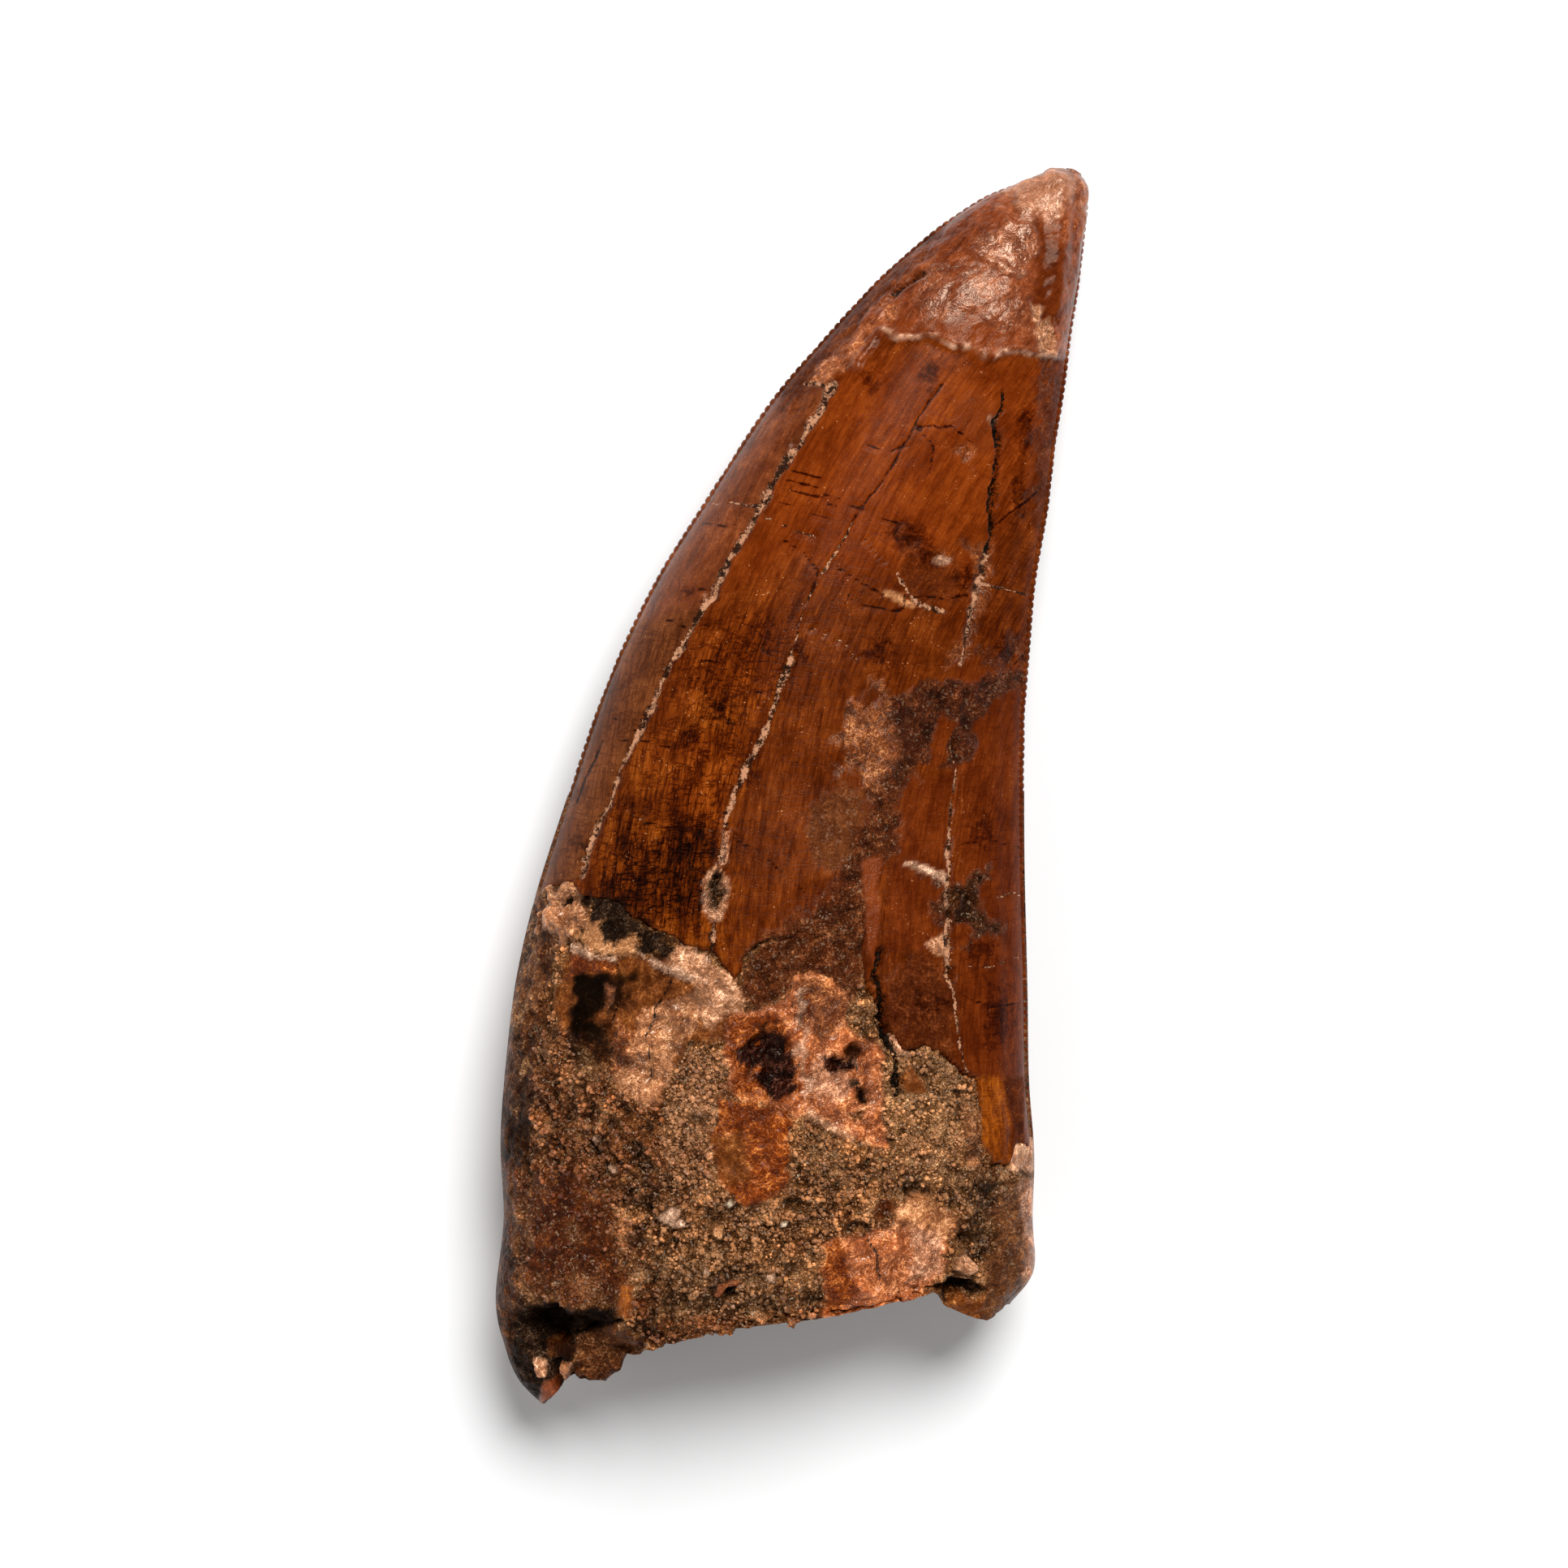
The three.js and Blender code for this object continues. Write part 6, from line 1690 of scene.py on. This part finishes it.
    def build(self, shift: Array) -> bpy.types.Object:
        """Build the crown as one closed mesh.

        Args:
            shift: move into the shared frame, in millimetres.

        Returns:
            The crown.
        """
        seen_points, seen_masks = self.face(FaceSide.SEEN, self.seen_columns)
        hidden, hidden_masks = self.face(FaceSide.HIDDEN, self.hidden_columns)
        hidden[..., 2] = np.maximum(hidden[..., 2], 0.0)
        shell = Shell(seen_points, hidden, seen_masks, hidden_masks)
        above, below = shell.numbers()
        above[-1, :] = above[-1, 0]
        below[-1, :] = above[-1, 0]
        points = shell.points()
        middle = (seen_points[0].mean(axis=0) + hidden[0].mean(axis=0)) / 2.0
        closing = fan(np.concatenate([above[0], below[0, -2:0:-1]]), len(points))
        faces = np.concatenate([grid_faces(above), grid_faces(below)[:, ::-1], closing])
        masks = {label: np.concatenate([values, values[:1]]) for label, values in shell.masks().items()}
        piece = put_mesh("enamel_crown", np.concatenate([points, middle[None]]) + shift, faces, masks)
        dress(piece, self.finish.material())
        return piece


@dataclass(frozen=True)
class Root:
    """The root: dentine and bone under sandy matrix, with its end broken off."""

    form: ToothForm
    marks: RootFace
    under: UnderFace
    finish: FossilFinish
    stop: float = 0.45
    rings: int = 262
    seen_columns: int = 216
    end_rows: int = 40
    end_hollow: float = 3.0
    end_rim: float = 0.2
    end_roughness: float = 0.5
    edge_relief: float = 0.25
    enamel_step: float = 0.3
    covered_step: float = 0.9
    covered_slope: float = 0.7
    swell_height: float = 0.4
    swell_spacing: float = 5.0

    def shared_height(self, place: Array, ground: Ground, seed: int) -> tuple[Array, Array]:
        """Work out the height of the ground, sunk where the enamel covers it.

        Args:
            place: base points in millimetres.
            ground: what the face is made of.
            seed: number of the pattern of its slow swells.

        Returns:
            The height, and the depth inside the crown's region.
        """
        covered = covered_depth(place)
        swell = self.swell_height * crumple(place, self.swell_spacing, 2, seed)
        height = swell + ground.height() - self.enamel_step
        return blend(height, -self.covered_step, smooth_step(0.0, self.covered_slope, covered)), covered

    def seen_face(self, place: Array) -> tuple[Array, dict[str, Array]]:
        """Shape and colour the seen face: ground, cracks and holes.

        Args:
            place: base points in millimetres.

        Returns:
            The height off the base, and the masks of the material.
        """
        ground = Ground(place, self.marks.matrix, seed=171, spacing=1.2)
        ground.lay(self.marks.beds + self.marks.clods() + self.marks.patches)
        ground.dust(BROWN_MATRIX, 0.5, 3.4, 301)
        ground.dust(PALE_MATRIX, 0.5, 1.8, 311)
        cut, masks = crack_relief(place, self.marks.cracks, 5)
        height, covered = self.shared_height(place, ground, 3)
        x, y = wander(place, 1.1, 0.6, 81)
        height = height + cut - spot_height(x, y, self.marks.holes)
        return height, masks | ground.masks() | {"stain": np.zeros(x.shape), "covered": covered}

    def hidden_face(self, place: Array) -> tuple[Array, dict[str, Array]]:
        """Shape and colour the hidden face: ground, holes and the lumps that it lies on."""
        ground = Ground(place, MATRIX, seed=191)
        ground.lay(self.under.root_patches)
        height, covered = self.shared_height(place, ground, 21)
        x, y = place[..., 0], place[..., 1]
        height = height - spot_height(x, y, self.under.holes)
        return height, no_cracks(x.shape) | ground.masks() | {"stain": np.zeros(x.shape), "covered": covered}

    def face(self, side: FaceSide, columns: int) -> tuple[Array, dict[str, Array]]:
        """Work out one face of the root.

        Args:
            side: which face.
            columns: spans from edge to edge.

        Returns:
            The points, and the masks of each point.
        """
        place = np.linspace(0.0, self.stop, self.rings)[:, None]
        grid = FaceGrid(self.form, side, place, column_places(columns)[None, :])
        base = grid.base()
        normal = surface_normals(base) * side.value
        if side is FaceSide.SEEN:
            height, masks = self.seen_face(base)
            corner = depth_inside(base[..., 0], base[..., 1], self.marks.broken_corner)
            drop = self.form.read("half", place) * self.form.fullness(place, grid.across)
            base[..., 2] -= self.marks.corner_drop * smooth_step(0.0, self.marks.corner_slope, corner) * drop
        else:
            height, masks = self.hidden_face(base)
        share = blend(self.edge_relief, 1.0, grid.thickness_share())
        share[:, 0] = 0.0
        share[:, -1] = 0.0
        masks["grain"] = base.copy()
        return base + (share * height)[..., None] * normal, masks

    def end_face(self, top: Array, bottom: Array, across: Array) -> Array:
        """Span the broken end between the two faces.

        Each row is a line between the faces, pushed in along Y by the hollow of
        the pulp cavity: flat inside, with a rim that follows a cubic step of
        t (1 - t) both ways, and rough all over.

        Args:
            top: rim points of the seen face.
            bottom: rim points of the hidden face, as many.
            across: place of the columns from edge to edge.

        Returns:
            The rows between the faces, rims left out.
        """
        share = np.linspace(0.0, 1.0, self.end_rows + 1)[1:-1, None]
        rows = blend(top[None], bottom[None], share[..., None])
        rim = smooth_step(0.0, self.end_rim, across * (1.0 - across))
        rim = rim * smooth_step(0.0, self.end_rim, share * (1.0 - share))
        rough = self.end_roughness * crumbs(rows, 2.0, 3, 101)
        rows[..., 1] += rim * self.end_hollow + rough * np.clip(6.0 * share * (1.0 - share), 0.0, 1.0)
        return rows[:, 1:-1]

    def stitch(self, upper: Array, lower: Array) -> Array:
        """Join a row of vertex numbers to one with half as many spans, three triangles to each."""
        start, end, middle = lower[:-1], lower[1:], upper[1:-1:2]
        fans = [(start, end, middle), (start, middle, upper[0:-2:2]), (end, upper[2::2], middle)]
        return whole(np.concatenate([np.stack(corners, axis=1) for corners in fans]))

    def build(self, shift: Array) -> Shell:
        """Build the root as one closed mesh.

        Args:
            shift: move into the shared frame, in millimetres.

        Returns:
            Its two faces, for what is stuck to them.
        """
        seen_points, seen_masks = self.face(FaceSide.SEEN, self.seen_columns)
        hidden, hidden_masks = self.face(FaceSide.HIDDEN, self.seen_columns // 2)
        hidden[..., 2] = np.maximum(hidden[..., 2], 0.0)
        shell = Shell(seen_points, hidden, seen_masks, hidden_masks)
        above, below = shell.numbers()
        across, coarse = column_places(self.seen_columns), column_places(self.seen_columns // 2)
        bottom = np.stack([np.interp(across, coarse, hidden[0, :, axis]) for axis in range(3)], axis=-1)
        rows = self.end_face(seen_points[0], bottom, across[None, :])
        first = len(shell.points())
        inner = first + np.arange(rows.shape[0] * rows.shape[1]).reshape(rows.shape[:2])
        left, right = (np.full((len(rows), 1), corner) for corner in above[0, [0, -1]])
        end = np.concatenate([above[:1], np.concatenate([left, inner, right], axis=1)])
        middle = (seen_points[-1].mean(axis=0) + hidden[-1].mean(axis=0)) / 2.0
        points = np.concatenate([shell.points(), rows.reshape(-1, 3), middle[None]])
        closing = fan(np.concatenate([above[-1], below[-1, -2:0:-1]]), len(points) - 1)[:, [1, 0, 2]]
        sides = [grid_faces(above), grid_faces(below)[:, ::-1], grid_faces(end)[:, ::-1]]
        faces = np.concatenate(sides + [self.stitch(end[-1], below[0]), closing])
        own = shell.masks()
        own.pop("covered")
        masks = self.end_masks(points[first:])
        masks = {label: np.concatenate([values, masks[label]]) for label, values in own.items()}
        dress(put_mesh("root", points + shift, faces, masks), self.finish.material())
        return shell

    def end_masks(self, broken: Array) -> dict[str, Array]:
        """Return the masks of the points of the broken end: brown matrix with broad stains."""
        stain = smooth_step(0.2, 0.8, crumple(broken, 5.0, 3, 215))
        plain = no_cracks(broken.shape[:1]) | {"stain": stain, "grain": broken}
        return Ground(broken, BROWN_MATRIX, seed=211).masks() | plain


@dataclass(frozen=True)
class Serrations:
    """One serrated edge: a thin ridge cut into denticles.

    insets and levels go round the ridge's section: how far in from the outer
    line, and the height in half thicknesses. Slots cut what is less far in than
    cut_inset, and slot_waist is how much thinner the ridge is in a slot.
    """

    crown: EnamelCrown
    edge: Edge
    name: str
    pitch: float
    stop_depth: float = 0.4
    stop_place: float = 0.985
    steps: int = 7
    slot: float = 0.13
    half_thickness: float = 0.34
    insets: tuple[float, ...] = (1.1, 0.42, 0.1, 0.0, 0.1, 0.42)
    levels: tuple[float, ...] = (0.0, 1.0, 0.55, 0.0, -0.55, -1.0)
    cut_inset: float = 0.5
    fades: Point = (1.6, 1.2)
    unevenness: float = 0.06
    wear_depth: float = 0.1
    slot_waist: float = 0.45
    roughness: float = 0.3

    def run(self) -> tuple[Array, Array, float]:
        """Place the ridge's sections along the edge.

        Returns:
            The distance of each along the edge, its place along the tooth, and
            the length of the edge that is serrated.
        """
        form = self.crown.form
        place, length = form.edge_length(self.edge)
        line = np.stack([*form.edge_points(self.edge, place), np.zeros_like(place)], -1)
        usable = place[(covered_depth(line) > self.stop_depth) & (place < self.stop_place)]
        first, last = np.interp(usable[[0, -1]], place, length)
        run = np.linspace(first, last, int((last - first) / self.pitch) * self.steps)
        return run - first, np.interp(run, length, place), last - first

    def ridge(self) -> Array:
        """Carry the ridge's section along the edge.

        The outer line dips by the slot's depth between denticles: the dip is
        (1 - |sin|)^2 of the distance along the edge in pitches, so the denticles
        are broad and the slots narrow. The ridge follows the edge's normal.

        Returns:
            The points of each section, section by section.
        """
        form = self.crown.form
        run, at, length = self.run()
        x, y = form.edge_points(self.edge, at)
        tangent = np.stack([np.gradient(x), np.gradient(y)], axis=-1)
        tangent /= np.linalg.norm(tangent, axis=-1, keepdims=True)
        sign = 1.0 if self.edge is Edge.OUTER else -1.0
        outward = np.stack([-tangent[:, 1], tangent[:, 0]], axis=-1) * sign
        wear = crumple(np.stack([x, y, np.zeros_like(x)], -1), 2.6, 2, 111)
        phase = run / self.pitch + self.unevenness * crumple(np.stack([run, run, run], -1), 1.7, 1, 117)
        fade = smooth_step(0.0, self.fades[0], run) * smooth_step(0.0, self.fades[1], length - run)
        dip = (1.0 - np.abs(np.sin(np.pi * phase))) ** 2 * fade * np.clip(1.0 + 0.5 * wear, 0.3, 1.2)
        worn = self.wear_depth * np.clip(-wear, 0.0, 1.0)
        inset, level = np.array(self.insets), np.array(self.levels) * self.half_thickness
        reach = inset[None, :] + (self.slot * dip + worn)[:, None] * (inset[None, :] < self.cut_inset)
        z = form.middle(at)[:, None] + level[None, :] * (1.0 - self.slot_waist * dip[:, None])
        return np.stack([x[:, None] - outward[:, :1] * reach, y[:, None] - outward[:, 1:] * reach, z], -1)

    def build(self, shift: Array, material: bpy.types.Material) -> bpy.types.Object:
        """Build the ridge as one closed mesh.

        Args:
            shift: move into the shared frame, in millimetres.
            material: the enamel.

        Returns:
            The serrated ridge.
        """
        points = self.ridge()
        rows = np.arange(points.shape[0] * points.shape[1]).reshape(points.shape[:2])
        caps = [fan(rows[0], rows.size), fan(rows[-1, ::-1], rows.size + 1)]
        faces = np.concatenate([grid_faces(np.concatenate([rows, rows[:, :1]], axis=1))] + caps)
        points = np.concatenate([points.reshape(-1, 3), points[[0, -1]].mean(axis=1)])
        masks = self.crown.ground(points).masks() | no_cracks(points.shape[:1])
        masks |= {"stain": np.zeros(len(points)), "grain": points * np.array([1.0, 1.0, 0.0])}
        masks["rough"] = np.maximum(masks["rough"], self.roughness)
        if self.edge is Edge.OUTER:
            faces = faces[:, ::-1]
        piece = put_mesh(self.name, points + shift, faces, masks)
        dress(piece, material)
        return piece


@dataclass(frozen=True)
class SandGrains:
    """Sand grains stuck to the root, each a small stone of 20 faces."""

    finish: GrainFinish
    count: int = 9000
    smallest: float = 0.09
    largest: float = 0.25
    hidden_share: float = 0.25
    bare_rim: float = 0.035
    bare_below: float = 0.35
    lifted: float = -0.1
    scatter: float = 0.06
    lumpiness: float = 0.16
    brightness: float = 0.95
    variety: float = 0.28
    seed: int = 7

    def stone(self) -> tuple[Array, Array]:
        """Return the points and faces of an icosahedron of radius 1."""
        golden = (1.0 + 5.0**0.5) / 2.0
        signs = [(0.0, a, b) for a in (-1.0, 1.0) for b in (-golden, golden)]
        points = np.array([np.roll(corner, turn) for turn in (0, -1, 1) for corner in signs])
        near = np.abs(np.linalg.norm(points[:, None] - points[None], axis=-1) - 2.0) < 1e-6
        faces = []
        for i, j, k in combinations(range(len(points)), 3):
            if near[i, j] and near[j, k] and near[i, k]:
                outward = np.dot(np.cross(points[j] - points[i], points[k] - points[i]), points[i]) > 0
                faces.append((i, j, k) if outward else (i, k, j))
        return points / np.linalg.norm(points, axis=1, keepdims=True), np.array(faces)

    def seats(self, shell: Shell) -> list[Array]:
        """List the cells of the root's faces that a grain can sit on.

        A cell's weight is its area times its share of sand, and falls to 0 where
        it is steep, under the enamel, or at a rim.

        Args:
            shell: the root's two faces.

        Returns:
            The places, normals, weights and tints of the cells.
        """
        parts = []
        seen = (shell.seen, shell.seen_masks, 1.0, 1.0)
        for points, masks, side, share in (seen, (shell.hidden, shell.hidden_masks, -1.0, self.hidden_share)):
            corner = points[:-1, :-1]
            across = np.cross(points[:-1, 1:] - corner, points[1:, :-1] - corner) * side
            area = np.linalg.norm(across, axis=-1)
            divisor = np.maximum(area, 1e-9)
            sand = np.clip(masks["sand"] - self.bare_below, 0.0, 1.0) * (masks["covered"] < -0.1)
            column = np.linspace(0.0, 1.0, sand.shape[1])
            sand = sand * (np.minimum(column, 1.0 - column) > self.bare_rim)
            level = np.clip(2.5 * np.abs(across[..., 2]) / divisor - 1.5, 0.0, 1.0)
            weight = area * level * sand[:-1, :-1] * share
            cells = (corner, across / divisor[..., None], weight[..., None], masks["tint"][:-1, :-1])
            parts.append([values.reshape(-1, values.shape[-1]) for values in cells])
        return [np.concatenate(part) for part in zip(*parts)]

    def build(self, shift: Array, shell: Shell) -> bpy.types.Object:
        """Scatter the grains over the sandy part of the root.

        A grain's seat is drawn by the weights of the cells. Each grain is the
        stone, stretched by three drawn lengths, turned by a drawn rotation, and
        sunk by a tenth of its size.

        Args:
            shift: move into the shared frame, in millimetres.
            shell: the root's two faces.

        Returns:
            All grains as one mesh.
        """
        rng = np.random.default_rng(self.seed)
        places, normals, weights, tints = self.seats(shell)
        weight = weights[:, 0]
        chosen = rng.choice(len(weight), self.count, p=weight / weight.sum())
        place = places[chosen] + rng.normal(0.0, self.scatter, (self.count, 3))
        size = self.smallest + (self.largest - self.smallest) * rng.random(self.count) ** 2.5
        stretch = size[:, None] * rng.uniform(0.65, 1.1, (self.count, 3))
        stone, faces = self.stone()
        lumpy = 1.0 + self.lumpiness * rng.standard_normal((self.count, len(stone), 1)).clip(-1.5, 1.5)
        shaped = np.einsum("nij,nkj->nki", self.rotations(rng), stone[None] * lumpy * stretch[:, None, :])
        points = place[:, None] + shaped + normals[chosen][:, None] * (self.lifted * size)[:, None, None]
        points[..., 2] = np.maximum(points[..., 2], 0.0)
        offsets = np.arange(self.count)[:, None, None] * len(stone)
        tone = self.brightness * np.exp(rng.normal(0.0, self.variety, self.count)).clip(0.3, 2.3)
        tint = tints[chosen] * tone[:, None]
        tint[:, 3] = 1.0
        masks = {"tint": np.repeat(tint, len(stone), axis=0)}
        faces = (faces[None] + offsets).reshape(-1, 3)
        piece = put_mesh("sand_grains", points.reshape(-1, 3) + shift, faces, masks)
        piece.data.shade_flat()
        dress(piece, self.finish.material())
        return piece

    def rotations(self, rng: np.random.Generator) -> Array:
        """Draw one random turn for each grain, from unit quaternions."""
        quaternion = rng.standard_normal((self.count, 4))
        quaternion /= np.linalg.norm(quaternion, axis=1, keepdims=True)
        w, x, y, z = quaternion.T
        rows = [
            [1 - 2 * (y * y + z * z), 2 * (x * y - z * w), 2 * (x * z + y * w)],
            [2 * (x * y + z * w), 1 - 2 * (x * x + z * z), 2 * (y * z - x * w)],
            [2 * (x * z - y * w), 2 * (y * z + x * w), 1 - 2 * (x * x + y * y)],
        ]
        return np.moveaxis(np.array(rows), 2, 0)


@dataclass(frozen=True)
class Studio:
    """Pale floor, soft key light from the upper right, and a camera straight above."""

    floor_side: float = 4.0
    floor_colour: Colour = (0.86, 0.86, 0.86, 1.0)
    floor_roughness: float = 0.9
    floor_shine: float = 0.1
    camera_place: Place = (-0.00069, 0.00003, 0.329)
    lens: float = 100.0
    sensor: float = 36.0
    key_place: Place = (0.217, 0.57, 0.87)
    key_size: float = 0.6
    key_watts: float = 14.7
    fill_axis: Place = (-0.45, -0.75, 0.48)
    fill_span: Point = (0.0, 0.8)
    fill_strength: Point = (0.1, 0.95)
    overhead_span: Point = (0.75, 0.93)

    def put(self, name: str, data: bpy.types.ID) -> bpy.types.Object:
        """Link a new object to the scene."""
        thing = bpy.data.objects.new(name, data)
        bpy.context.scene.collection.objects.link(thing)
        return thing

    def floor(self) -> None:
        """Lay the floor at height 0."""
        half = self.floor_side / 2.0
        mesh = bpy.data.meshes.new("floor")
        corners = [(-half, -half, 0.0), (half, -half, 0.0), (half, half, 0.0), (-half, half, 0.0)]
        mesh.from_pydata(corners, [], [(0, 1, 2, 3)])
        material, _, shader = new_material("pale_floor")
        shader.inputs["Base Color"].default_value = self.floor_colour
        shader.inputs["Roughness"].default_value = self.floor_roughness
        shader.inputs["Specular IOR Level"].default_value = self.floor_shine
        mesh.materials.append(material)
        floor = self.put("floor", mesh)

    def key(self) -> None:
        """Hang the soft key light and point it at the tooth."""
        light = bpy.data.lights.new("key", "AREA")
        light.shape = "ELLIPSE"
        light.size, light.size_y = self.key_size, self.key_size
        light.energy = self.key_watts
        lamp = self.put("key", light)
        lamp.location = self.key_place
        lamp.rotation_euler = (-Vector(self.key_place)).to_track_quat("-Z", "Y").to_euler()

    def fill(self) -> None:
        """Light the shadows from a pale wall on the far side from the key light, dark overhead."""
        world = bpy.data.worlds.new("studio")
        world.use_nodes = True
        wiring = Wiring(world.node_tree)
        towards = wiring.node("ShaderNodeTexCoord").outputs["Generated"]
        facing = wiring.node("ShaderNodeVectorMath", {0: towards, 1: self.fill_axis}, operation="DOT_PRODUCT")
        wall = wiring.between(facing.outputs["Value"], *self.fill_span, *self.fill_strength)
        height = wiring.node("ShaderNodeSeparateXYZ", {0: towards}).outputs["Z"]
        background = world.node_tree.nodes["Background"]
        background.inputs["Color"].default_value = (1.0, 1.0, 1.0, 1.0)
        overhead = wiring.between(height, *self.overhead_span, 1.0, 0.0)
        wiring.feed(background.inputs["Strength"], wiring.product(wall, overhead))
        bpy.context.scene.world = world

    def camera(self) -> None:
        """Set the camera straight above, at the photograph's framing."""
        lens = bpy.data.cameras.new("camera")
        lens.lens = self.lens
        lens.sensor_width = self.sensor
        camera = self.put("camera", lens)
        camera.location = self.camera_place
        bpy.context.scene.camera = camera

    def build(self) -> None:
        """Set up floor, lights, camera and the plain colour transform."""
        self.floor()
        self.key()
        self.fill()
        self.camera()
        bpy.context.scene.view_settings.view_transform = "Standard"


def main() -> None:
    """Build the tooth, then the studio."""
    logging.basicConfig(level=logging.INFO)
    form = ToothForm()
    shift = Frame(form).shift()
    groups = SharedGroups()
    crown = EnamelCrown(form, CrownFace(), UnderFace(), FossilFinish(groups, "fossil_enamel"))
    enamel = crown.build(shift).data.materials[0]
    Serrations(crown, Edge.HOLLOW, "hollow_edge_serrations", pitch=0.556).build(shift, enamel)
    Serrations(crown, Edge.OUTER, "outer_edge_serrations", pitch=0.62).build(shift, enamel)
    shell = Root(form, RootFace(), UnderFace(), FossilFinish(groups, "root_matrix")).build(shift)
    SandGrains(GrainFinish(groups)).build(shift, shell)
    Studio().build()


if __name__ == "__main__":
    main()
